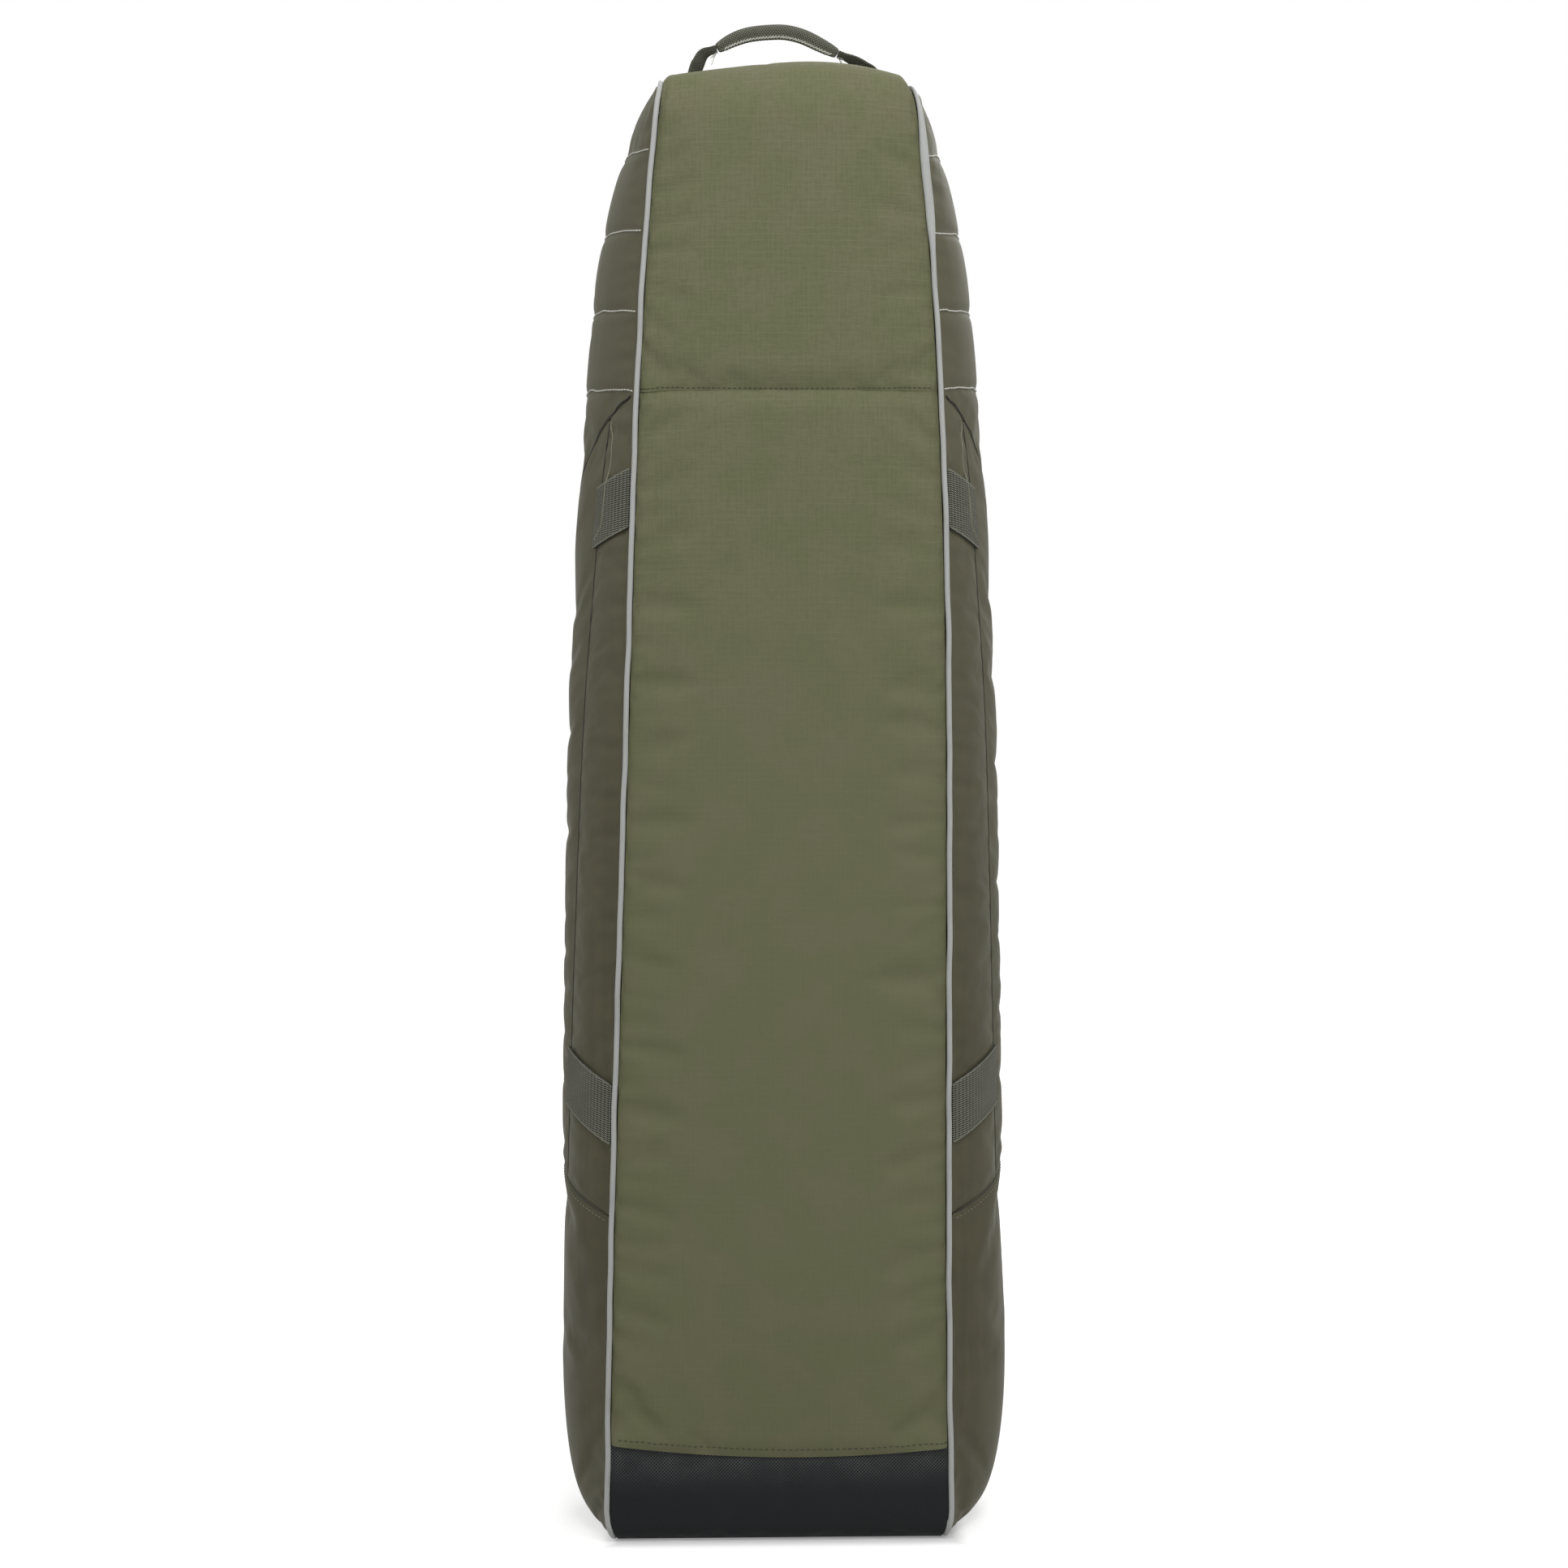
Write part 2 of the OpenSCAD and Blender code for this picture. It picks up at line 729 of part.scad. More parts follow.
// Gap between a stop and the first tooth
stop_gap = 0.6;
run_x0 = zip_start_x + fit + stop_l + stop_gap + tooth_w / 2;
run_top = lid_w / 2 - zip_r - run_x0;
run_arc = PI * zip_r / 2;
run_side = lid_high_z - lid_low_z - 2 * zip_r;
run_len = 2 * run_top + 2 * run_arc + run_side;
// Place along the zip, as x, z and the turn of the zip from its first run
function zip_at(d) =
    let (
        d1 = d - run_top,
        d2 = d1 - run_arc,
        d3 = d2 - run_side,
        d4 = d3 - run_arc,
        a1 = 90 * d1 / run_arc,
        a3 = 90 * d3 / run_arc,
        cx = lid_w / 2 - zip_r
    )
    d1 < 0 ? [run_x0 + d, lid_high_z, 0]
    : d2 < 0 ? [cx + zip_r * sin(a1), lid_high_z - zip_r + zip_r * cos(a1), a1]
    : d3 < 0 ? [lid_w / 2, lid_high_z - zip_r - d2, 90]
    : d4 < 0 ? [cx + zip_r * cos(a3), lid_low_z + zip_r - zip_r * sin(a3), 90 + a3]
    : [cx - d4, lid_low_z, 180];

tooth_count = floor(run_len / tooth_pitch) - 1;

module zip_teeth(away) {
    start = away > 0 ? 0 : tooth_pitch / 2;
    for (i = [0:tooth_count - 1]) {
        p = zip_at(start + i * tooth_pitch);
        translate([p[0], tape_y, p[1]]) rotate([0, p[2], 0])
            translate([-tooth_w / 2, -tooth_h / 2, away > 0 ? -tooth_mesh : -tooth_root])
            cube([tooth_w, tooth_h, tooth_l]);
    }
}

module zip_teeth_border() { color(zip_black) zip_teeth(1); }

module zip_teeth_lid() { color(zip_black) zip_teeth(-1); }

module zip_stops() {
    color(metal_grey)
        for (end = [[lid_high_z, 1], [lid_low_z, -1]])
            translate([zip_start_x + fit, tape_y - tooth_h / 2, end[0] + (end[1] > 0 ? 0 : -tooth_root)])
            cube([stop_l, tooth_h, tooth_root]);
}

// Sliders and pulls

// Gap between the teeth and a slider's plates
plate_gap = 0.4;
slider_under_y = tape_y + tooth_h / 2 + plate_gap;
slider_top_y = slider_under_y + slider_t;
// Wall round the bore of a pull, and play between the bore and its pin
knuckle_wall = 1.1;
bore_play = 0.4;
pull_bore = pin_d + bore_play;
knuckle_d = pin_d + 2 * knuckle_wall;
// Gap between a pull's knuckle and the slider below it
knuckle_gap = 0.6;
pin_y = slider_top_y + knuckle_d / 2 + knuckle_gap;
ear_w = 1.5;
ear_gap = 6.4;
ear_rim = 0.8;
ear_d = knuckle_d + 2 * ear_rim;
slider_gap = 2;
slider_corner = 3;
flange_w = 1.8;
flange_h = 1.1;
// Neck of a pull between its knuckle and its blade, and the eye at its free end
neck_l = 5;
eye_d = 4;

// Plan of a slider in the XZ plane, widest at its head, which is at +Z
module slider_plan() {
    head_x = slider_w / 2;
    polygon([
        [-head_x, slider_l / 2 - slider_corner],
        [-head_x + slider_corner, slider_l / 2],
        [head_x - slider_corner, slider_l / 2],
        [head_x, slider_l / 2 - slider_corner],
        [slider_tail_w / 2, -slider_l / 2],
        [-slider_tail_w / 2, -slider_l / 2]
    ]);
}

// Slider over both rows of teeth, with ears and a pin for its pull and a half plate behind the lid's row
module slider() {
    through(slider_under_y, slider_top_y) slider_plan();
    for (side = [-1, 1]) {
        through(slider_under_y - flange_h, slider_under_y)
            intersection() {
                slider_plan();
                translate([side * (slider_w / 2 - flange_w / 2), 0])
                    square([flange_w, slider_l], center = true);
            }
        translate([side * (ear_gap + ear_w) / 2, (slider_under_y + pin_y) / 2, -pin_shift])
            cube([ear_w, pin_y - slider_under_y, ear_d], center = true);
        translate([side * (ear_gap + ear_w) / 2 - ear_w / 2, pin_y, -pin_shift])
            rotate([0, 90, 0])
            cylinder(h = ear_w, d = ear_d);
    }
    translate([-(ear_gap + ear_w) / 2, pin_y, -pin_shift])
        rotate([0, 90, 0])
        cylinder(h = ear_gap + ear_w, d = pin_d);
    plate_y = tape_y - tooth_h / 2 - plate_gap;
    through(plate_y - slider_t, plate_y)
        intersection() {
            slider_plan();
            translate([-slider_w, -slider_l]) square([slider_w - tooth_mesh, 2 * slider_l]);
        }
}

// Pull hanging from its pin, with an eye for a cord at its free end
module pull() {
    neck_w = ear_gap - 2 * fit;
    translate([0, pin_y, 0]) difference() {
        union() {
            translate([-neck_w / 2, 0, 0]) rotate([0, 90, 0]) cylinder(h = neck_w, d = knuckle_d);
            translate([-neck_w / 2, -pull_t / 2, -neck_l]) cube([neck_w, pull_t, neck_l]);
            through(-pull_t / 2, pull_t / 2) {
                translate([-pull_w / 2, -pull_l + pull_w / 2])
                    square([pull_w, pull_l - pull_w / 2 - knuckle_d]);
                translate([0, -pull_l + pull_w / 2]) circle(d = pull_w);
            }
        }
        translate([-ear_gap, 0, 0]) rotate([0, 90, 0]) cylinder(h = 2 * ear_gap, d = pull_bore);
        translate([0, pull_t, -pull_l + pull_w / 2])
            rotate([90, 0, 0])
            cylinder(h = 2 * pull_t, d = eye_d);
    }
}

slider_step = (slider_l + slider_gap) / 2;
module at_slider(dir) { translate([lid_w / 2, 0, lid_mid_z + dir * slider_step]) children(); }
module at_pin(dir) { translate([0, 0, dir * pin_shift]) at_slider(dir) children(); }

module zip_slider_upper() { color(metal_grey) at_slider(1) mirror([0, 0, 1]) slider(); }

module zip_slider_lower() { color(metal_grey) at_slider(-1) slider(); }

module zip_pull_upper() { color(zip_black) at_pin(1) pull(); }

module zip_pull_lower() { color(zip_black) at_pin(-1) pull(); }

// Inside

pad_y = back_y + skin_t + fit;
pad_edge = 8;
pad_face_y = pad_y + pad_t;
// Height of the back pad's lower edge above the round of the base
pad_foot_gap = 10;
pad_low_z = base_r + pad_foot_gap;

module back_pad() {
    color(foam_grey) through(pad_y, pad_face_y) strip_outline(pad_low_z, border_top_z, pad_edge);
}

board_edge = 14;
module base_board() {
    half_d = body_d / 2 - base_r;
    color(foam_grey) translate([-boot_half_w + board_edge, -half_d, skin_t + fit])
        cube([2 * (boot_half_w - board_edge), 2 * half_d, board_t]);
}

lining_rows = 10;
lining_cols = 6;
lining_s = 0.88;
// Clearance of the lining from the padded sides
lining_gap = 0.9;
// Distance of the lining's upper edge below the round of the top
lining_drop = 30;
lining_low_z = boot_h;
lining_high_z = border_top_z - lining_drop;
module side_lining() {
    function row(out) = [
        for (i = [0:lining_rows]) [
            for (j = [0:lining_cols])
                let (
                    z = mix(lining_low_z, lining_high_z, i / lining_rows),
                    s = lining_s * (2 * j / lining_cols - 1)
                )
                side_pt(z, s, out)
        ]
    ];
    skin(row(-skin_t - lining_gap), row(-skin_t - lining_gap - lining_t));
}

module side_lining_left() { color(foam_grey) on_left() side_lining(); }

module side_lining_right() { color(foam_grey) side_lining(); }

// Tie-down straps over the back pad: a fixed half, and a loose half that laps it and swings open

tie_y = pad_face_y + fit;
// Distance of a strap's sewn root from the piping
tie_inset = 28;
tie_x = half_w(tie_upper_z) - tie_inset;
tie_pivot_y = tie_y + tie_t + fit + tie_t / 2;
tie_root = 16;

module tie_fixed(z) {
    translate([-tie_lap / 2, tie_y, z - tie_w / 2]) cube([tie_x + tie_lap / 2, tie_t, tie_w]);
    translate([-tie_x - tie_root / 2, tie_y, z - tie_w / 2]) cube([tie_root, tie_t, tie_w]);
}

module tie_loose(z) {
    translate([-tie_x, tie_pivot_y - tie_t / 2, z - tie_w / 2]) cube([tie_x + tie_lap / 2, tie_t, tie_w]);
    translate([-tie_x, tie_pivot_y, z - tie_w / 2]) cylinder(h = tie_w, d = tie_t);
}

module tie_strap_upper_fixed() { color(zip_black) tie_fixed(tie_upper_z); }

module tie_strap_upper_loose() { color(zip_black) tie_loose(tie_upper_z); }

module tie_strap_lower_fixed() { color(zip_black) tie_fixed(tie_lower_z); }

module tie_strap_lower_loose() { color(zip_black) tie_loose(tie_lower_z); }

nose_panel();
back_panel();
base_boot();
front_border();
side_nose_left();
side_rear_left();
side_centre_left();
side_front_left();
side_tail_left();
side_nose_right();
side_rear_right();
side_centre_right();
side_front_right();
side_tail_right();
piping_left();
piping_right();
band_upper_left();
band_lower_left();
band_upper_right();
band_lower_right();
grab_handle_webbing();
grab_handle_grip();
grab_handle_feet();
carry_handle_webbing();
carry_handle_grip();
carry_handle_feet();
zip_tape_border();
zip_teeth_border();
zip_stops();
lid_panel();
lid_pad();
zip_tape_lid();
zip_teeth_lid();
zip_slider_upper();
zip_slider_lower();
zip_pull_upper();
zip_pull_lower();
back_pad();
base_board();
side_lining_left();
side_lining_right();
tie_strap_upper_fixed();
tie_strap_upper_loose();
tie_strap_lower_fixed();
tie_strap_lower_loose();
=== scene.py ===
import math

import bpy
import numpy as np
from mathutils import Matrix, Vector


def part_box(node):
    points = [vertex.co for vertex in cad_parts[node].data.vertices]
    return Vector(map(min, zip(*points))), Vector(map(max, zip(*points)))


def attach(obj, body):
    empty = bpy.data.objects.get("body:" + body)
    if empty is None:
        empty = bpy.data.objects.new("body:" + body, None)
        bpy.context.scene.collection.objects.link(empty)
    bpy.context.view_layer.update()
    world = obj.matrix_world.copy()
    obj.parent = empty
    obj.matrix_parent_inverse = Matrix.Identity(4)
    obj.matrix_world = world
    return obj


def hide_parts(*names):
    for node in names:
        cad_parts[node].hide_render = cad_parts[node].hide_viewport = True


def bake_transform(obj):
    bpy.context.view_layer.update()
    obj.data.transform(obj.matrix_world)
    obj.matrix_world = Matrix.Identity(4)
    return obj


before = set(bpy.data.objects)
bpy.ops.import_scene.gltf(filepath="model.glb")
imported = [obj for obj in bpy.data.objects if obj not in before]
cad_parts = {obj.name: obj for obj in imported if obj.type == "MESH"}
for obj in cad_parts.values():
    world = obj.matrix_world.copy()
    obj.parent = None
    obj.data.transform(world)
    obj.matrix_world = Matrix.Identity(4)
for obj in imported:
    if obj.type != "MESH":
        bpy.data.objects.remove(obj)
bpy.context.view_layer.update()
right, left = 1, -1  # the two sides of the bag, seen from its back
bothSides = ((right, "right"), (left, "left"))

# Sizes of the sewn body, in metres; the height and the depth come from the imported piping
pipe = {
    "cadRadius": 0.00325,
    "radius": 0.0029,
    "sides": 12,
    "step": 0.012,
    "wander": 0.0006,
    "wanderPitch": 0.11,
    "flat": 0.65,  # the right cord lies flatter and wider on a stretch below the top, and tapers above it
    "flatLow": (1.395, 1.435),
    "flatHigh": (1.500, 1.560),
    "taper": 0.35,
    "taperFrom": (1.545, 1.590),
    "cornerCount": 11,
    "topCount": 9,
    "baseCount": 14,
}
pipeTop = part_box("piping_right")[1]
bag = {
    "high": pipeTop.z - pipe["cadRadius"],
    "halfDeep": pipeTop.y - pipe["cadRadius"],
    "baseHalf": 0.187,
    "topHalf": 0.137,
    "evenTaper": 0.020,
    "taperPower": 6,
    "topRound": 0.056,
    "baseRound": 0.018,
    "seamIn": 0.00355,
    "edgeStep": 0.00275,
    "bulge": 0.0625,
    "footRound": 0.190,
    "footPower": 2.2,
    "footFull": 0.34,
    "toe": 0.009,
    "toeRise": 0.032,
    "shoulder": {right: 0.0110, left: 0.0065},
    "swayLow": -0.0068,
    "swayHigh": 0.0060,
    "swayFrom": 0.1,
    "swayTo": 1.15,
    "drawIn": 0.800,
    "fallPower": 4,
    "fallFull": 0.78,
    "waists": [(1.28, 0.0065), (1.06, 0.0042)],  # height and depth of the places where a side draws in
    "waistReach": 0.11,
    "footTrim": {right: 0.0010, left: 0.0050},
    "trimFrom": 0.20,
    "trimTo": 0.36,
    "noseZ": 1.245,
    "bootHigh": 0.095,
    "backCrown": 0.010,
    "topCrown": 0.015,
    "crownRise": 0.190,
}
bag["sideLow"] = 2 * bag["seamIn"]
bag["sideHigh"] = bag["high"] - bag["seamIn"]
bag["cornerZ"] = bag["high"] - bag["topRound"]


def mix(a, b, f):
    return a + (b - a) * f


def smooth(x, low, high):
    t = np.clip((x - low) / (high - low), 0, 1)
    return t * t * (3 - 2 * t)


def columns(*parts):  # the parts side by side, one row for each point
    return np.stack(np.broadcast_arrays(*parts), axis=-1)


waves = ((0.73, 1.9, 0.40), (1.0, 1.0, 0.35), (1.63, 4.1, 0.25))  # pace, start and height of each


def ripple(t, pitch, seed):  # uneven waves between -1 and 1, the same on each run
    turn = 2 * math.pi * np.asarray(t) / pitch
    return sum(high * np.sin(pace * turn + start * seed) for pace, start, high in waves)


def halfWidth(z):
    t = np.clip(z / bag["high"], 0, 1)
    draw = bag["baseHalf"] - bag["evenTaper"] - bag["topHalf"]
    toe = bag["toe"] * np.clip(1 - z / bag["toeRise"], 0, 1) ** 2
    return bag["baseHalf"] - bag["evenTaper"] * t - draw * t ** bag["taperPower"] - toe


def lowered(which, z):  # the shoulders fall away from the middle of the top
    return z - bag["shoulder"][which] * smooth(z, bag["cornerZ"], bag["high"])


def sideDepth(z):  # half depth of a side, drawn in by the rounds at the base and the top
    lowR = bag["baseRound"] - bag["seamIn"]
    highR = bag["topRound"] - bag["seamIn"]
    below = np.clip((bag["seamIn"] + bag["baseRound"] - z) / lowR, 0, 1)
    above = np.clip((z - bag["cornerZ"]) / highR, 0, 1)
    flat = bag["halfDeep"] - bag["seamIn"]
    return flat - lowR * (1 - np.sqrt(1 - below**2)) - highR * (1 - np.sqrt(1 - above**2))


def sideBulge(which, z):
    f = np.clip((z - bag["sideLow"]) / bag["footRound"], 0, 1)
    rise = (1 - (1 - f) ** bag["footPower"]) ** bag["footFull"]
    drawn = np.clip((z - bag["drawIn"]) / (bag["sideHigh"] - bag["drawIn"]), 0, 1)
    fall = (1 - drawn ** bag["fallPower"]) ** bag["fallFull"]
    waist = sum(deep * np.exp(-(((z - at) / bag["waistReach"]) ** 2)) for at, deep in bag["waists"])
    trim = bag["footTrim"][which] * (1 - smooth(z, bag["trimFrom"], bag["trimTo"]))
    return (bag["bulge"] * rise - waist) * fall - trim * rise


def sway(y, z):  # the bag stands a little twisted, so its back leans to one side on the way up
    lean = mix(bag["swayLow"], bag["swayHigh"], smooth(z, bag["swayFrom"], bag["swayTo"]))
    return lean * np.clip(-y / bag["halfDeep"], 0, 1)


def sidePoint(which, s, z):  # s is -1 at the back piping and 1 at the front piping
    x = halfWidth(z) + bag["edgeStep"] + sideBulge(which, z) * (1 - s * s)
    y = s * sideDepth(z)
    return columns(which * x + sway(y, z), y, lowered(which, z))


# Mesh helpers

def clearSelection():
    bpy.ops.object.select_all(action="DESELECT")


def pick(piece):
    clearSelection()
    piece.select_set(True)
    bpy.context.view_layer.objects.active = piece


def readPoints(piece, field="co"):
    points = np.empty(len(piece.data.vertices) * 3)
    piece.data.vertices.foreach_get(field, points)
    return points.reshape(-1, 3)


def writePoints(piece, points):
    piece.data.vertices.foreach_set("co", np.asarray(points, float).ravel())
    piece.data.update()


def readCorners(piece):  # the point at each corner of each face
    corners = np.empty(len(piece.data.loops), int)
    piece.data.loops.foreach_get("vertex_index", corners)
    return corners


def readCloth(piece):  # each point's place on the flat cloth, from the UV map
    corners = readCorners(piece)
    uv = np.empty(len(corners) * 2)
    piece.data.uv_layers["cloth"].data.foreach_get("uv", uv)
    flat = np.zeros((len(piece.data.vertices), 2))
    flat[corners] = uv.reshape(-1, 2)
    return flat


def pushOut(piece, amount):
    writePoints(piece, readPoints(piece) + readPoints(piece, "normal") * np.asarray(amount)[:, None])


def addSheet(name, cols, rows, place):  # a grid laid on a surface; place gives points and flat cloth
    clearSelection()
    bpy.ops.mesh.primitive_grid_add(x_subdivisions=cols, y_subdivisions=rows, size=1)
    piece = bpy.context.object
    piece.name = name
    piece.data.name = name
    start = readPoints(piece)
    points, flat = place(start[:, 0] + 0.5, start[:, 1] + 0.5)
    writePoints(piece, points)
    layer = piece.data.uv_layers.active
    layer.name = "cloth"
    layer.data.foreach_set("uv", flat[readCorners(piece)].ravel())
    return piece


def applyModifier(piece, kind, settings):
    pick(piece)
    modifier = piece.modifiers.new(kind.title(), kind)
    for key, value in settings.items():
        setattr(modifier, key, value)
    bpy.ops.object.modifier_apply(modifier=modifier.name)


def subdivide(piece):
    applyModifier(piece, "SUBSURF", {"levels": 1, "render_levels": 1})


def thicken(piece, thick):
    applyModifier(piece, "SOLIDIFY", {"thickness": thick, "offset": -1})


def bevel(piece, width, segments=2):
    applyModifier(piece, "BEVEL", {"width": width, "segments": segments, "limit_method": "ANGLE"})


def join(pieces, name):  # makes one piece of several
    pick(pieces[0])
    for piece in pieces:
        piece.select_set(True)
    bpy.ops.object.join()
    pieces[0].name = name
    return pieces[0]


def weld(piece, fill, gap=1e-5):  # joins edges that meet, and caps open ends if asked
    pick(piece)
    bpy.ops.object.mode_set(mode="EDIT")
    bpy.ops.mesh.select_all(action="SELECT")
    bpy.ops.mesh.remove_doubles(threshold=gap)
    if fill:
        bpy.ops.mesh.fill_holes(sides=0)
    bpy.ops.object.mode_set(mode="OBJECT")


def shadeSmooth(piece, angle=60):
    pick(piece)
    bpy.ops.object.shade_smooth_by_angle(angle=math.radians(angle))


settling = {"steps": 20, "quality": 5, "mass": 0.2, "air": 3, "shear": 0.5}


def settle(piece, held, cloth):  # swells a held sheet as cloth, then caps how far it moved
    start = readPoints(piece)
    group = piece.vertex_groups.new(name="held")
    group.add([int(i) for i in np.flatnonzero(held)], 1.0, "REPLACE")
    modifier = piece.modifiers.new("Cloth", "CLOTH")
    settings = modifier.settings
    settings.quality = settling["quality"]
    settings.mass = settling["mass"]
    settings.tension_stiffness = cloth["stiff"]
    settings.compression_stiffness = cloth["stiff"]
    settings.shear_stiffness = cloth["stiff"] * settling["shear"]
    settings.bending_stiffness = cloth["bend"]
    settings.air_damping = settling["air"]
    settings.vertex_group_mass = "held"
    settings.shrink_min = -cloth["grow"]
    settings.use_pressure = True
    settings.uniform_pressure_force = cloth["pressure"]
    settings.effector_weights.gravity = 0
    modifier.collision_settings.use_collision = False
    modifier.point_cache.frame_end = settling["steps"]
    scene = bpy.context.scene
    for step in range(1, settling["steps"] + 1):
        scene.frame_set(step)
    pick(piece)
    bpy.ops.object.modifier_apply(modifier=modifier.name)
    scene.frame_set(1)
    piece.vertex_groups.clear()
    moved = readPoints(piece) - start
    far = np.linalg.norm(moved, axis=1)
    keep = np.minimum(1, cloth["cap"] / np.maximum(far, 1e-9))
    writePoints(piece, start + moved * keep[:, None])
    print(f"settled {piece.name}: {len(far)} points, most moved {1000 * far.max():.1f} mm")


def runAlong(path):  # length from the start of a path to each of its points
    return np.concatenate([[0], np.cumsum(np.linalg.norm(np.diff(path, axis=0), axis=1))])


def atRuns(path, marks):  # places on a path, by their lengths from its start
    run = runAlong(path)
    return columns(*[np.interp(marks, run, part) for part in path.T])


def looped(path):
    return np.append(path, path[:1], axis=0)


def addSweep(name, path, aside, up, outline, closed=False):  # carries an outline along a path
    count = len(path)
    rows = count if closed else count - 1
    ring = len(outline)
    reach, girth = runAlong(looped(path)), runAlong(looped(outline))

    def place(u, v):
        step = np.rint(v * rows).astype(int)
        spot = np.rint(u * ring).astype(int)
        row, corner = step % count, spot % ring
        points = path[row] + outline[corner, :1] * aside[row] + outline[corner, 1:] * up[row]
        return points, columns(girth[spot], reach[step])

    piece = addSheet(name, ring, rows, place)
    weld(piece, fill=True)
    return piece


def alongPath(path, closed=False):  # unit tangents of a path
    if closed:
        run = np.roll(path, -1, axis=0) - np.roll(path, 1, axis=0)
    else:
        run = np.gradient(path, axis=0)
    return run / np.linalg.norm(run, axis=1)[:, None]


def addTube(name, path, radius, sides, normal, closed=False, widen=1.0):
    tangent = alongPath(path, closed)
    normal = normal - tangent * np.sum(normal * tangent, axis=1)[:, None]
    normal = normal / np.linalg.norm(normal, axis=1)[:, None]
    binormal = np.cross(tangent, normal) * widen
    turn = 2 * math.pi * np.arange(sides) / sides
    outline = radius * columns(np.cos(turn), np.sin(turn))
    return addSweep(name, path, normal, binormal, outline, closed)


def snapTo(pieces, points):  # nearest places on the pieces, with the outward normals there
    spots, normals = [], []
    for point in points:
        hits = [piece.closest_point_on_mesh(Vector(point)) for piece in pieces]
        best = min(hits, key=lambda hit: (hit[1] - Vector(point)).length)
        spots.append(best[1])
        normals.append(best[2])
    return np.array(spots), np.array(normals)


def spaced(path, pitch):  # the path at even steps
    return atRuns(path, np.arange(pitch / 2, runAlong(path)[-1], pitch))


def fromLowest(face):
    first = face.index(min(face))
    return face[first:] + face[:first]


def takeModel(model):  # points and faces of a model, in the same order on each run; the model is removed
    points = readPoints(model)
    order = np.lexsort(points.round(7).T)
    place = np.argsort(order).tolist()
    faces = [fromLowest([place[corner] for corner in polygon.vertices]) for polygon in model.data.polygons]
    bpy.data.objects.remove(model)
    return points[order], sorted(faces)


def addCopies(name, model, turns, spots, angle):  # one piece of many copies, each turned and moved
    points, faces = model
    allPoints = [points @ turn + spot for turn, spot in zip(turns, spots)]
    starts = range(0, len(points) * len(allPoints), len(points))
    mesh = bpy.data.meshes.new(name)
    allFaces = [[start + corner for corner in face] for start in starts for face in faces]
    mesh.from_pydata(np.concatenate(allPoints), [], allFaces)
    piece = bpy.data.objects.new(name, mesh)
    bpy.context.scene.collection.objects.link(piece)
    shadeSmooth(piece, angle)
    return piece


def modelStitch(stitch):  # one thread stitch along X, as a drawn-out ball
    clearSelection()
    bpy.ops.mesh.primitive_uv_sphere_add(segments=6, ring_count=5, radius=1)
    ball = bpy.context.object
    bpy.ops.object.mode_set(mode="EDIT")
    bpy.ops.mesh.select_all(action="SELECT")
    bpy.ops.transform.rotate(value=math.pi / 2, orient_axis="Y", center_override=(0, 0, 0))
    size = (stitch["long"] / 2, stitch["thick"] / 2, stitch["thick"] / 2)
    bpy.ops.transform.resize(value=size, center_override=(0, 0, 0))
    bpy.ops.object.mode_set(mode="OBJECT")
    return takeModel(ball)


def addStitches(name, onto, path, stitch):  # a row of stitches on the pieces below it
    model = modelStitch(stitch)
    centres, normals = snapTo(onto, spaced(path, stitch["pitch"]))
    slant = stitch.get("slant", 0)
    turns = []
    for normal, tangent in zip(normals, alongPath(centres)):
        tangent = tangent * math.cos(slant) + np.cross(normal, tangent) * math.sin(slant)
        turns.append(np.stack([tangent, np.cross(normal, tangent), normal]))
    return addCopies(name, model, turns, centres + normals * stitch["lift"], 80)


def dress(piece, finish, body, nodes=(), bends=None):  # nodes are the solids it stands for
    piece.data.materials.clear()
    piece.data.materials.append(finish)
    if bends:  # given for a piece across the joint between the bag and the body, which is left in place on neither; the two ends themselves are not used
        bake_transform(piece)
    else:
        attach(piece, body)
    if nodes:
        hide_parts(*nodes)
    return piece


# Finishes

class Wire:  # a socket of one finish, for sums
    def __init__(self, finish, socket):
        self.finish = finish
        self.socket = socket

    def sum(self, operation, first, second=0.0):
        return self.finish.add("ShaderNodeMath", {"operation": operation}, {0: first, 1: second})

    def __add__(self, other):
        return self.sum("ADD", self, other)

    def __radd__(self, other):
        return self.sum("ADD", other, self)

    def __sub__(self, other):
        return self.sum("SUBTRACT", self, other)

    def __rsub__(self, other):
        return self.sum("SUBTRACT", other, self)

    def __mul__(self, other):
        return self.sum("MULTIPLY", self, other)

    def __truediv__(self, other):
        return self.sum("DIVIDE", self, other)

    def __abs__(self):
        return self.sum("ABSOLUTE", self)

    def cosine(self):
        return self.sum("COSINE", self)

    def fraction(self):
        return self.sum("FRACT", self)

    def larger(self, other):
        return self.sum("MAXIMUM", self, other)

    def between(self, low, high):  # 0 below low and 1 above high, eased
        values = {0: self, 1: low, 2: high, 3: 0.0, 4: 1.0}
        return self.finish.add("ShaderNodeMapRange", {"interpolation_type": "SMOOTHSTEP"}, values)


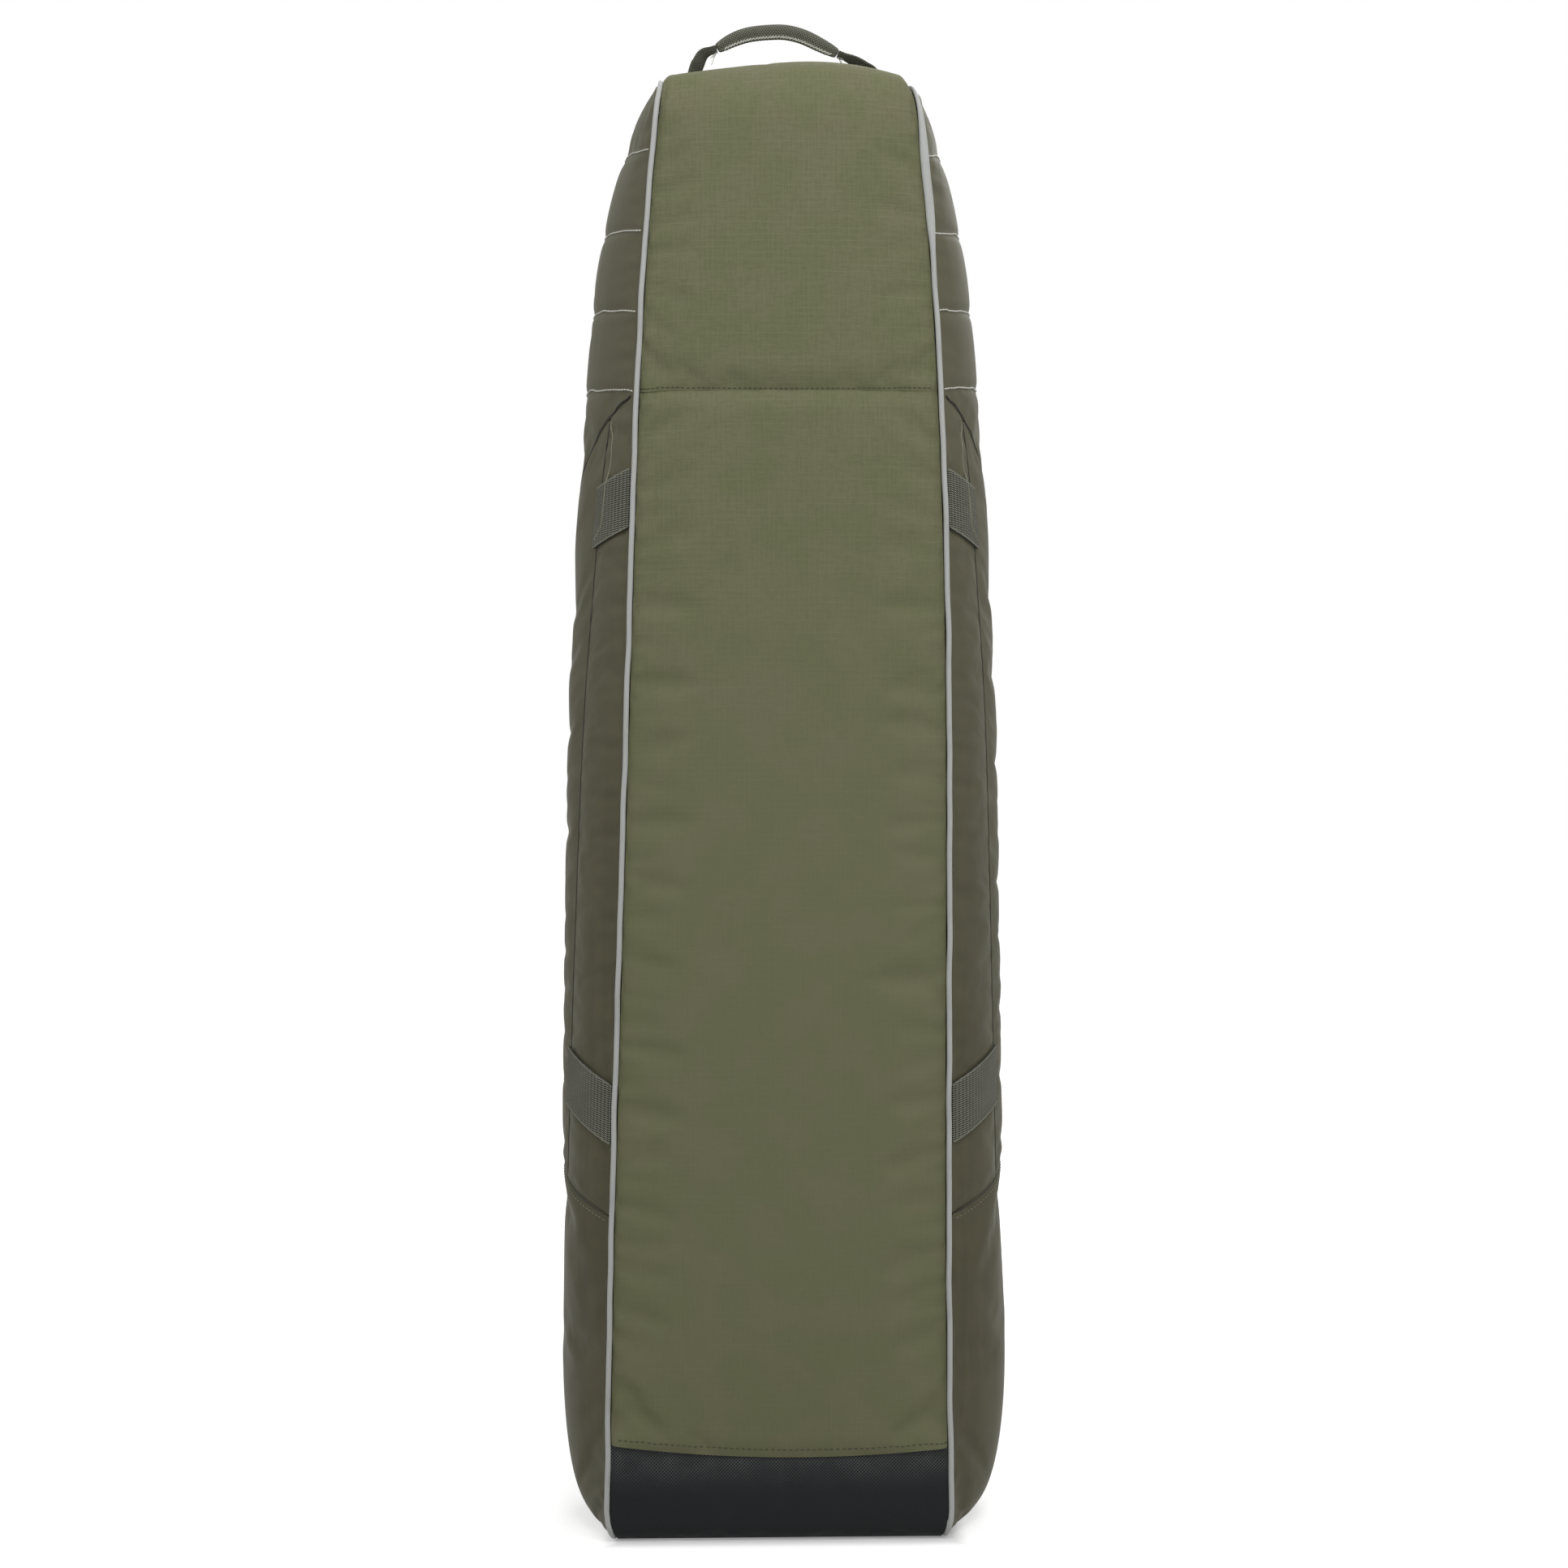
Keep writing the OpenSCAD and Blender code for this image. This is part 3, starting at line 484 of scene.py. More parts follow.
class Finish:  # one material and its nodes
    def __init__(self, name, shader):
        self.material = bpy.data.materials.new(name)
        self.material.use_nodes = True
        self.tree = self.material.node_tree
        self.shader = self.tree.nodes["Principled BSDF"]
        for socket, value in shader.items():
            self.feed(self.shader.inputs[socket], value)

    def feed(self, socket, value):
        if isinstance(value, Wire):
            self.tree.links.new(value.socket, socket)
        elif isinstance(value, tuple) and len(value) == 3 and socket.type == "RGBA":
            socket.default_value = (*value, 1)
        else:
            socket.default_value = value

    def add(self, kind, settings, values, output=0):
        node = self.tree.nodes.new(kind)
        for key, value in settings.items():
            setattr(node, key, value)
        for key, value in values.items():
            self.feed(node.inputs[key], value)
        return Wire(self, node.outputs[output])

    def split(self, vector):  # the three parts of a vector
        node = self.tree.nodes.new("ShaderNodeSeparateXYZ")
        self.feed(node.inputs[0], vector)
        return [Wire(self, output) for output in node.outputs]

    def cloth(self):  # the flat cloth's two directions, in metres
        return self.split(self.add("ShaderNodeUVMap", {"uv_map": "cloth"}, {}))[:2]

    def place(self, stretch=(1, 1, 1)):  # place in the bag's frame, stretched
        spot = self.add("ShaderNodeTexCoord", {}, {}, "Object")
        return self.add("ShaderNodeMapping", {}, {"Vector": spot, "Scale": stretch})

    def axis(self, i):  # one direction of the place
        return self.split(self.place())[i]

    def height(self):
        return self.axis(2)

    def distance(self):
        return self.add("ShaderNodeVectorMath", {"operation": "LENGTH"}, {0: self.place()}, 1)

    def noise(self, scale, detail=2.0, rough=0.5, stretch=(1, 1, 1)):
        values = {"Vector": self.place(stretch), "Scale": scale, "Detail": detail, "Roughness": rough}
        return self.add("ShaderNodeTexNoise", {}, values)

    def fibres(self, stretch, detail=2.0, rough=0.5):  # noise drawn out along some directions
        return self.noise(1.0, detail, rough, stretch)

    def blend(self, factor, first, second):
        return self.add("ShaderNodeMix", {"data_type": "RGBA"}, {0: factor, 6: first, 7: second}, 2)

    def bump(self, height, strength, deep=0.001):
        values = {"Strength": strength, "Distance": deep, "Height": height}
        self.feed(self.shader.inputs["Normal"], self.add("ShaderNodeBump", {}, values))

    def put(self, socket, value):
        self.feed(self.shader.inputs[socket], value)


def line(wire, pitch, share):  # 1 on thin lines at each pitch, 0 between them
    return abs((wire / pitch).fraction() - 0.5).between(0.5 - share, 0.5 - share / 3)


def waveOf(wire, pitch):  # -1 to 1, once in each pitch
    return (wire * (2 * math.pi / pitch)).cosine()


def dots(u, v, pitchU, pitchV):  # staggered round humps, 0 to 1
    return waveOf(u, pitchU) * waveOf(v, pitchV) * 0.5 + 0.5


def ripstopFinish():
    look = {
        "green": (0.154, 0.161, 0.086),
        "brown": (0.166, 0.163, 0.096),
        "thread": (0.201, 0.208, 0.120),
        "dark": (0.112, 0.118, 0.061),
        "across": 0.0054,
        "up": 0.0066,
        "share": 0.13,
        "patches": 17.0,
        "streaks": ((420, 420, 14), (14, 14, 420)),
        "slubs": ((90, 90, 640), (700, 90, 60)),
        "creases": (30, 30, 22),
        "clearerUp": (0.70, 1.30),  # heights between which the weave grows clearer
        "gridShare": 0.30,
        "darkShare": 0.34,
    }
    finish = Finish("ripstop", {"Roughness": 0.74, "Specular IOR Level": 0.12, "Sheen Weight": 0.02})
    u, v = finish.cloth()
    patch = finish.noise(look["patches"], 3.0).between(0.38, 0.62)
    streakU, streakV = (finish.fibres(streak).between(0.35, 0.7) for streak in look["streaks"])
    linesU = line(u, look["across"], look["share"]) * streakU
    linesV = line(v, look["up"], look["share"]) * streakV
    grid = linesU.larger(linesV)
    cloth = finish.blend(patch, look["green"], look["brown"])
    slubU, slubV = (finish.fibres(slub) * 0.5 for slub in look["slubs"])
    slubs = slubU + slubV
    clearerUp = finish.height().between(*look["clearerUp"]) * 0.75 + 0.25
    cloth = finish.blend((0.56 - slubs).between(0.0, 0.16) * clearerUp * look["darkShare"], cloth, look["dark"])
    finish.put("Base Color", finish.blend(grid * clearerUp * look["gridShare"], cloth, look["thread"]))
    finish.put("Roughness", 0.78 - grid * 0.12)
    creases = finish.fibres(look["creases"], 3.0, 0.6)
    finish.bump(grid * 0.08 + slubs * 0.16 + creases * 0.8, 0.5)
    return finish.material


def sideClothFinish():
    look = {
        "cloth": (0.069, 0.064, 0.036),
        "light": (0.096, 0.089, 0.052),
        # painted light: the paler colour painted at the top of a side
        "top": (0.116, 0.110, 0.070),
        "twill": 0.0016,
        "streaks": (60, 60, 5),
        "patches": 26.0,
        "paintedTopLight": (0.25, 1.45),  # heights between which painted light makes the cloth paler towards the top
    }
    shader = {"Roughness": 0.55, "Specular IOR Level": 0.16, "Sheen Weight": 0.04, "Sheen Roughness": 0.4}
    finish = Finish("sideCloth", shader)
    u, v = finish.cloth()
    streak = finish.fibres(look["streaks"], 3.0)
    patch = finish.noise(look["patches"], 3.0)
    twill = waveOf(u + v, look["twill"]) * 0.5 + 0.5
    tone = (streak * 0.6 + patch * 0.4).between(0.35, 0.65)
    cloth = finish.blend(tone * 0.7 + twill * 0.12, look["cloth"], look["light"])
    paintedTopLight = finish.height().between(*look["paintedTopLight"])
    # painted light: the cloth is painted paler towards the top, where the light falls
    finish.put("Base Color", finish.blend(paintedTopLight * 0.8, cloth, look["top"]))
    finish.put("Roughness", 0.5 + streak * 0.2)
    finish.bump(streak * 0.9 + patch * 0.8 + twill * 0.05, 0.5)
    return finish.material


def tarpaulinFinish():
    look = {
        "black": (0.0100, 0.0108, 0.0118),
        # painted highlight: the pale colour of the emboss ridges stands in for light caught on them
        "ridge": (0.150, 0.156, 0.153),
        "pitch": 0.0036,
        "top": (0.62, 0.95),  # where a ridge begins and is full
        "clearerUp": (0.050, 0.104),  # heights between which the ridges and their painted highlight grow clearer
        "wear": 34.0,
    }
    finish = Finish("tarpaulin", {"Roughness": 0.42, "Specular IOR Level": 0.14})
    u, v = finish.cloth()
    first, second = (abs((way / look["pitch"]).fraction() - 0.5) * 2.0 for way in (u + v, u - v))
    emboss = first.between(*look["top"]).larger(second.between(*look["top"]) * 0.6)
    clearerUp = finish.height().between(*look["clearerUp"]) * 0.92 + 0.08
    worn = finish.noise(look["wear"], 3.0).between(0.3, 0.7)
    # painted highlight on the ridges, fading downwards, broken by uneven wear
    paintedRidgeHighlight = emboss * clearerUp * (worn * 0.5 + 0.5)
    finish.put("Base Color", finish.blend(paintedRidgeHighlight, look["black"], look["ridge"]))
    finish.put("Roughness", 0.52 - emboss * 0.14 + worn * 0.1)
    finish.bump(emboss * 0.35 * clearerUp + worn * 0.4, 0.6)
    return finish.material


# rim is the pale selvedge; the last width is a painted shadow line along the band's edges
webbing = {"fuzz": 900.0, "wear": 45.0, "rim": (0.0012, 0.0030), "selvedge": 0.0009}


def webbingFinish(name, look):
    finish = Finish(name, {"Roughness": 0.7, "Specular IOR Level": 0.12, "Sheen Weight": 0.03})
    u, v = finish.cloth()
    yarn = dots(u, v, look["across"], look["along"])
    rib = waveOf(v, look["along"]) * 0.5 + 0.5
    fuzz = finish.noise(webbing["fuzz"])
    wear = finish.noise(webbing["wear"], 3.0).between(0.3, 0.75)
    hump = yarn.between(0.42, 0.86)
    cloth = finish.blend(hump, look["gap"], look["yarn"])
    if "edge" in look:
        nearPiping = abs(u).between(look["plainTo"], look["dottedFrom"])
        cloth = finish.blend(nearPiping * 0.75 + 0.25, look["plain"], cloth)
        toEdge = look["edge"] - abs(v)
        cloth = finish.blend((1.0 - toEdge.between(*webbing["rim"])) * 0.6, cloth, look["yarn"])
        # painted shadow: a dark line along each edge of the band
        cloth = finish.blend(1.0 - toEdge.between(0.0, webbing["selvedge"]), cloth, look["gap"])
    finish.put("Base Color", finish.blend(wear * 0.35 * hump + fuzz * 0.08, cloth, look["worn"]))
    finish.put("Roughness", 0.85 - hump * 0.2)
    finish.bump(hump * 0.75 + rib * 0.12 + fuzz * 0.2, 0.8)
    return finish.material


def pipingFinish():
    look = {"grey": (0.445, 0.455, 0.440), "soil": (0.300, 0.305, 0.285)}
    weave = {"across": 0.0012, "along": 0.0014, "soil": (60, 60, 18), "dents": 160.0}
    finish = Finish("piping", {"Roughness": 0.6, "Specular IOR Level": 0.35, "Sheen Weight": 0.05})
    yarn = dots(*finish.cloth(), weave["across"], weave["along"])
    soil = finish.fibres(weave["soil"], 4.0).between(0.5, 0.8)
    finish.put("Base Color", finish.blend(soil * 0.45 + yarn * 0.06, look["grey"], look["soil"]))
    finish.put("Roughness", 0.55 + soil * 0.2)
    finish.bump(yarn * 0.08 + finish.noise(weave["dents"]) * 0.3, 0.4)
    return finish.material


def threadFinish(name, colour, shade):
    look = {"twist": 700.0, "deep": 0.0005}
    finish = Finish(name, {"Roughness": 0.6, "Specular IOR Level": 0.35})
    twist = finish.noise(look["twist"]).between(0.35, 0.65)
    finish.put("Base Color", finish.blend(twist * 0.6, colour, shade))
    finish.put("Roughness", 0.5 + twist * 0.25)
    finish.bump(twist * 0.3, 0.5, look["deep"])
    return finish.material


def zipTapeFinish():
    look = {"cloth": (0.020, 0.021, 0.018), "rib": (0.045, 0.047, 0.040), "pitch": 0.0016}
    finish = Finish("zipTape", {"Roughness": 0.75, "Specular IOR Level": 0.25, "Sheen Weight": 0.1})
    x, z = finish.axis(0), finish.axis(2)
    rib = dots(x + z, x - z, look["pitch"], look["pitch"])
    finish.put("Base Color", finish.blend(rib, look["cloth"], look["rib"]))
    finish.put("Roughness", 0.8 - rib * 0.15)
    finish.bump(rib * 0.3, 0.5)
    return finish.material


def mouldedFinish(name, colour, worn, rough):
    look = {"scuffs": 320.0}
    finish = Finish(name, {"Roughness": rough, "Specular IOR Level": 0.45})
    scuff = finish.noise(look["scuffs"], 4.0, 0.6).between(0.45, 0.8)
    finish.put("Base Color", finish.blend(scuff * 0.5, colour, worn))
    finish.put("Roughness", rough + scuff * 0.2)
    finish.bump(scuff * 0.12, 0.4)
    return finish.material


def metalFinish():
    look = {
        "steel": (0.30, 0.30, 0.29),
        "dull": (0.16, 0.16, 0.155),
        "brushed": (900, 900, 120),
        "tarnish": 180.0,
    }
    finish = Finish("zipMetal", {"Metallic": 1.0, "Roughness": 0.34})
    brushed = finish.fibres(look["brushed"], 3.0)
    tarnish = finish.noise(look["tarnish"], 3.0).between(0.4, 0.75)
    finish.put("Base Color", finish.blend(tarnish * 0.7, look["steel"], look["dull"]))
    finish.put("Roughness", 0.26 + brushed * 0.14 + tarnish * 0.12)
    finish.bump(brushed * 0.08, 0.3)
    return finish.material


def liningFinish(name, cloth, pale):
    look = {"weaveU": (30, 30, 700), "weaveV": (700, 700, 30), "creases": 40.0}
    finish = Finish(name, {"Roughness": 0.68, "Specular IOR Level": 0.3, "Sheen Weight": 0.1})
    weaveU, weaveV = finish.fibres(look["weaveU"]), finish.fibres(look["weaveV"])
    creases = finish.noise(look["creases"], 3.0, 0.6)
    tone = (weaveU * 0.4 + weaveV * 0.4 + creases * 0.4).between(0.4, 0.8)
    finish.put("Base Color", finish.blend(tone, cloth, pale))
    finish.put("Roughness", 0.6 + creases * 0.2)
    finish.bump(weaveU * 0.2 + weaveV * 0.2 + creases * 1.2, 0.5)
    return finish.material


print("finishes")
bandLook = {
    "across": 0.0100,
    "along": 0.0024,
    "yarn": (0.300, 0.302, 0.240),
    "gap": (0.030, 0.031, 0.024),
    "worn": (0.360, 0.360, 0.300),
    "plain": (0.115, 0.116, 0.091),
    "edge": 0.033,
    "plainTo": 0.080,
    "dottedFrom": 0.125,
}
handleLook = {
    "across": 0.0040,
    "along": 0.0030,
    "yarn": (0.205, 0.207, 0.165),
    "gap": (0.055, 0.056, 0.045),
    "worn": (0.260, 0.260, 0.215),
}
# painted light: the handle's webbing painted lighter, for the light that falls on the grip
paintedLightGripLook = {
    "across": 0.0040,
    "along": 0.0030,
    "yarn": (0.270, 0.272, 0.218),
    "gap": (0.080, 0.081, 0.064),
    "worn": (0.330, 0.330, 0.275),
}
tieLook = {
    "across": 0.0030,
    "along": 0.0024,
    "yarn": (0.040, 0.041, 0.040),
    "gap": (0.010, 0.010, 0.010),
    "worn": (0.065, 0.065, 0.062),
}
ripstop = ripstopFinish()
sideCloth = sideClothFinish()
tarpaulin = tarpaulinFinish()
bandWeb = webbingFinish("bandWebbing", bandLook)
handleWeb = webbingFinish("handleWebbing", handleLook)
paintedLightGripWeb = webbingFinish("paintedLightGripWebbing", paintedLightGripLook)
tieWeb = webbingFinish("tieWebbing", tieLook)
pipingCloth = pipingFinish()
paleThread = threadFinish("paleThread", (0.60, 0.60, 0.54), (0.40, 0.40, 0.35))
oliveThread = threadFinish("oliveThread", (0.24, 0.24, 0.17), (0.14, 0.14, 0.10))
darkThread = threadFinish("darkThread", (0.030, 0.031, 0.018), (0.060, 0.062, 0.040))
# black binding in the seams, which also stands in for the shade in the seams' gaps (painted shade)
blackBindingAndSeamShade = threadFinish("blackBindingAndSeamShade", (0.012, 0.012, 0.009), (0.030, 0.029, 0.022))
zipTapeCloth = zipTapeFinish()
teethPlastic = mouldedFinish("zipTeeth", (0.016, 0.016, 0.016), (0.050, 0.050, 0.048), 0.38)
pullPlastic = mouldedFinish("zipPull", (0.024, 0.024, 0.023), (0.070, 0.070, 0.066), 0.45)
boardPlastic = mouldedFinish("baseBoard", (0.030, 0.031, 0.032), (0.060, 0.060, 0.060), 0.6)
zipMetal = metalFinish()
liningCloth = liningFinish("lining", (0.052, 0.054, 0.052), (0.090, 0.093, 0.090))


# Floor, light and camera

stageLook = {
    "floor": 60.0,
    "floorColour": (0.70, 0.70, 0.70),
    "glowNear": 0.60,  # the floor's own light, lower beside the bag so that its shadow shows
    "glowFar": 0.85,
    "nearTo": 0.45,
    "farFrom": 1.80,
    "foot": (0.178, 0.112),
    "paintedShadow": 0.40,  # painted shadow: share of that light left where the base stands
    "paintedShadowReach": 0.024,
    "ambient": 0.335,
}


def makeFloor():
    clearSelection()
    bpy.ops.mesh.primitive_plane_add(size=stageLook["floor"])
    floor = bpy.context.object
    floor.name = "floor"
    shader = {"Base Color": stageLook["floorColour"], "Roughness": 0.9, "Specular IOR Level": 0.1}
    finish = Finish("floor", shader)
    rays = ("Is Camera Ray", "Is Glossy Ray", "Is Transmission Ray")
    straight, mirrored, through = (finish.add("ShaderNodeLightPath", {}, {}, ray) for ray in rays)
    seen = straight.larger(mirrored).larger(through)
    spread = finish.distance().between(stageLook["nearTo"], stageLook["farFrom"])
    glow = spread * (stageLook["glowFar"] - stageLook["glowNear"]) + stageLook["glowNear"]
    # painted shadow: the floor's own light is lowered round the base's footprint
    wide, deep = stageLook["foot"]
    fromFoot = (abs(finish.axis(0)) - wide).larger(abs(finish.axis(1)) - deep)
    pastPaintedShadow = fromFoot.between(0.0, stageLook["paintedShadowReach"])
    clear = pastPaintedShadow * (1 - stageLook["paintedShadow"]) + stageLook["paintedShadow"]
    finish.put("Emission Color", seen * glow * clear)
    finish.put("Emission Strength", 1.0)
    floor.data.materials.append(finish.material)


def makeWorld():
    world = bpy.data.worlds.new("studio")
    bpy.context.scene.world = world
    world.use_nodes = True
    tree = world.node_tree
    soft = tree.nodes["Background"]
    soft.inputs[0].default_value = (1, 1, 1, 1)
    soft.inputs[1].default_value = stageLook["ambient"]
    white = tree.nodes.new("ShaderNodeBackground")
    white.inputs[0].default_value = (1, 1, 1, 1)
    path = tree.nodes.new("ShaderNodeLightPath")
    seen = path.outputs["Is Camera Ray"]
    for ray in ("Is Transmission Ray", "Is Glossy Ray"):
        either = tree.nodes.new("ShaderNodeMath")
        either.operation = "MAXIMUM"
        tree.links.new(seen, either.inputs[0])
        tree.links.new(path.outputs[ray], either.inputs[1])
        seen = either.outputs[0]
    choose = tree.nodes.new("ShaderNodeMixShader")
    tree.links.new(seen, choose.inputs[0])
    tree.links.new(soft.outputs[0], choose.inputs[1])
    tree.links.new(white.outputs[0], choose.inputs[2])
    tree.links.new(choose.outputs[0], tree.nodes["World Output"].inputs[0])


lamps = {
    "key": {"at": (0.45, -1.75, 2.95), "aim": (0, 0, 1.2), "size": 1.7, "power": 38},
    "fill": {"at": (-2.3, -1.5, 2.8), "aim": (0, 0, 1.4), "size": 2.2, "power": 20},
    "side": {"at": (2.6, -1.1, 1.0), "aim": (0, 0, 0.7), "size": 1.8, "power": 8.5},
    "rear": {"at": (0.8, 2.2, 2.9), "aim": (0, 0, 1.1), "size": 2.0, "power": 36},
}


def makeLamps():
    for name, lamp in lamps.items():
        data = bpy.data.lights.new(name, "AREA")
        data.size = lamp["size"]
        data.energy = lamp["power"]
        light = bpy.data.objects.new(name, data)
        bpy.context.scene.collection.objects.link(light)
        light.location = lamp["at"]
        facing = Vector(lamp["aim"]) - Vector(lamp["at"])
        light.rotation_euler = facing.to_track_quat("-Z", "Y").to_euler()


camera = {
    "lens": 53.17,
    "away": 2.507,
    "azimuth": -1.2,
    "high": 0.818,
    "roll": -0.12,
    "shiftX": 0.0012,
    "shiftY": 0.0016,
}


def makeCamera():
    data = bpy.data.cameras.new("camera")
    data.sensor_width = 36
    data.lens = camera["lens"]
    data.shift_x = camera["shiftX"]
    data.shift_y = camera["shiftY"]
    eye = bpy.data.objects.new("camera", data)
    bpy.context.scene.collection.objects.link(eye)
    turn = math.radians(camera["azimuth"])
    away = camera["away"] + bag["halfDeep"]
    eye.location = (away * math.sin(turn), -away * math.cos(turn), camera["high"])
    facing = Matrix.Rotation(turn, 4, "Z") @ Matrix.Rotation(math.pi / 2, 4, "X")
    eye.rotation_euler = (facing @ Matrix.Rotation(math.radians(camera["roll"]), 4, "Z")).to_euler()
    bpy.context.scene.camera = eye


bpy.context.scene.view_settings.view_transform = "Standard"
makeFloor()
makeWorld()
makeLamps()
makeCamera()
print("stage")


# Side panels

side = {
    "noseDrop": 0.0015,
    "noseDip": 0.105,
    "dipPower": 1.25,
    "tailZ": 0.353,
    "tailRise": 0.046,
    "centreNose": 0.134,
    "centreTail": 0.076,
    "centreFlare": 0.027,
    "flarePower": 6,
    "quilts": [1.245, 1.331, 1.417, 1.503],
    "arch": 0.0142,
    "quiltLift": {right: (0.0042, 0.0008), left: (0.0012, 0.0042)},
    "puff": 0.0015,
    "seamTuck": 0.0015,
    "seamReach": 0.009,
    "thick": 0.0028,
    "around": 0.135,
    "above": 0.003,
    "swellPower": 0.7,
    "sewnTo": 0.97,
    "lineReach": 0.998,
    "stitchReach": 0.98,
    "stitchDrop": 0.006,
    "waver": 0.0012,
    "waverPitch": 0.5,
}
bandLine = {
    "upper": {"mid": bag["noseZ"] - 0.114, "slope": -0.045},
    "lower": {"mid": side["tailZ"] + 0.110, "slope": 0.058},
}
band = {"wide": 0.066, "thick": 0.0024, "lift": 0.0006, "margin": 0.004, "cols": 18, "rows": 14}


def noseSeam(s):
    return bag["noseZ"] - side["noseDrop"] - side["noseDip"] * (1 - abs(s)) ** side["dipPower"]


def tailSeam(s):
    return side["tailZ"] + side["tailRise"] * (1 - abs(s))


def centreEdge(f):
    flare = side["centreFlare"] * np.clip(f, 0, 1) ** side["flarePower"]
    wide = mix(side["centreTail"], side["centreNose"], f) + flare
    return wide / (2 * (bag["halfDeep"] - bag["seamIn"]))


def rearEdge(f):
    return -centreEdge(f)


def atBack(f):
    return -1 + 0 * f


def atFront(f):
    return 1 + 0 * f


def offEdge(s):  # 1 in the middle of a side and 0 at the pipings
    return 1 - s**4


def quiltZ(which, z, s):  # the quilt lines arch up towards the middle of the side
    first, last = side["quilts"][0], side["quilts"][-1]
    fade = np.clip((bag["sideHigh"] - z) / (bag["sideHigh"] - last), 0, 1)
    low, high = side["quiltLift"][which]
    lift = mix(low, high, np.clip((z - first) / (last - first), 0, 1))
    return z + (lift + side["arch"] * (1 - s * s)) * fade


def bandZ(name, s):
    return bandLine[name]["mid"] + bandLine[name]["slope"] * (1 - abs(s))


def onSide(which, s, z):  # points and flat cloth of one side
    return sidePoint(which, s, z), columns(s * side["around"], z)


def alongSide(which, s, f):  # points of a line up the long side, from the tail seam to the nose seam
    return sidePoint(which, s, mix(tailSeam(s), noseSeam(s), f))


def acrossSide(which, u):  # runs from back to front on the right, and back again on the left
    return u if which == right else 1 - u


def seamDip(distance):  # a valley that the stitching draws in
    return -side["seamTuck"] * np.exp(-((distance / side["seamReach"]) ** 2))


def onEdge(u, v):
    tiny = 1e-6
    return np.minimum(np.minimum(u, 1 - u), np.minimum(v, 1 - v)) < tiny


def pucker(piece, distance, along, look, seed):  # short folds that fade away from a seam
    near = np.exp(-distance / look["reach"]) * smooth(distance, 0, look["start"])
    pushOut(piece, look["deep"] * near * ripple(along, look["pitch"], seed))


sidePucker = {"deep": 0.0016, "reach": 0.016, "pitch": 0.031, "start": 0.003}


def finishSide(piece, which, name, seed):
    subdivide(piece)
    points = readPoints(piece)
    gap = sideDepth(points[:, 2]) - abs(points[:, 1])
    pucker(piece, np.maximum(gap, 0), points[:, 2], sidePucker, seed)
    thicken(piece, side["thick"])
    shadeSmooth(piece)
    dress(piece, sideCloth, "bag", [f"{name}_{which}"])


def makeNoseSide(which, label):
    segment = {"seam": 9, "quilt": 13, "crest": 17}
    cloth = {"stiff": 12, "bend": 0.4, "grow": 0.020, "pressure": 3.0, "cap": 0.0030}
    cols = 40
    quilts = side["quilts"]
    heights = [quilts[0]]
    for low, high in zip(quilts, quilts[1:]):
        heights += [mix(low, high, (i + 1) / segment["quilt"]) for i in range(segment["quilt"])]
    turn = math.pi / 2 / segment["crest"]
    heights += [mix(quilts[-1], bag["sideHigh"], math.sin((i + 1) * turn)) for i in range(segment["crest"])]
    rows = segment["seam"] + len(heights) - 1
    sewn = [segment["seam"] + i * segment["quilt"] for i in range(len(quilts))]
    store = {}

    def place(u, v):
        s = 2 * acrossSide(which, u) - 1
        row = np.rint(v * rows).astype(int)
        low = mix(noseSeam(s), quiltZ(which, quilts[0], s), row / segment["seam"])
        level = np.array(heights)[np.maximum(row - segment["seam"], 0)]
        z = np.where(row < segment["seam"], low, quiltZ(which, level, s))
        store["held"] = onEdge(u, v) | np.isin(row, sewn)
        store["s"] = s
        store["level"] = level
        store["low"] = z - noseSeam(s)
        return onSide(which, s, z)

    piece = addSheet(f"noseSide_{label}", cols, rows, place)
    z, s = store["level"], store["s"]
    stops = np.array(quilts + [bag["sideHigh"]])
    row = np.clip(np.searchsorted(stops, z, side="right") - 1, 0, len(stops) - 2)
    share = np.clip((z - stops[row]) / (stops[row + 1] - stops[row]), 0, 1)
    swell = np.where(z > quilts[0], np.sin(math.pi * share) ** side["swellPower"], 0) * offEdge(s)
    pushOut(piece, side["puff"] * swell + seamDip(store["low"]) * offEdge(s))
    settle(piece, store["held"], cloth)
    finishSide(piece, label, "side_nose", 3 + which)
    return piece


def makeLongSide(which, label, name, start, end, cols, seed):  # a long strip between two seams
    cloth = {"stiff": 12, "bend": 0.5, "grow": 0.014, "pressure": 2.5, "cap": 0.0030}
    rows = 128
    store = {}

    def place(u, v):
        s = mix(start(v), end(v), acrossSide(which, u))
        z = mix(tailSeam(s), noseSeam(s), v)
        underBand = np.zeros(len(s), bool)
        if name != "side_centre":
            for key in bandLine:
                underBand |= abs(z - bandZ(key, s)) < band["wide"] / 2 + band["margin"]
        store["held"] = onEdge(u, v) | underBand
        toSeam = np.minimum(abs(s - start(v)), abs(s - end(v))) * sideDepth(z)
        toSeam = np.minimum(toSeam, np.minimum(z - tailSeam(s), noseSeam(s) - z))
        store["seam"] = np.where(abs(s) > side["sewnTo"], 1.0, toSeam)  # none beside the piping
        return onSide(which, s, z)

    piece = addSheet(f"{name.replace('side_', '')}Side_{label}", cols, rows, place)
    pushOut(piece, seamDip(store["seam"]))
    settle(piece, store["held"], cloth)
    finishSide(piece, label, name, seed + which)
    return piece


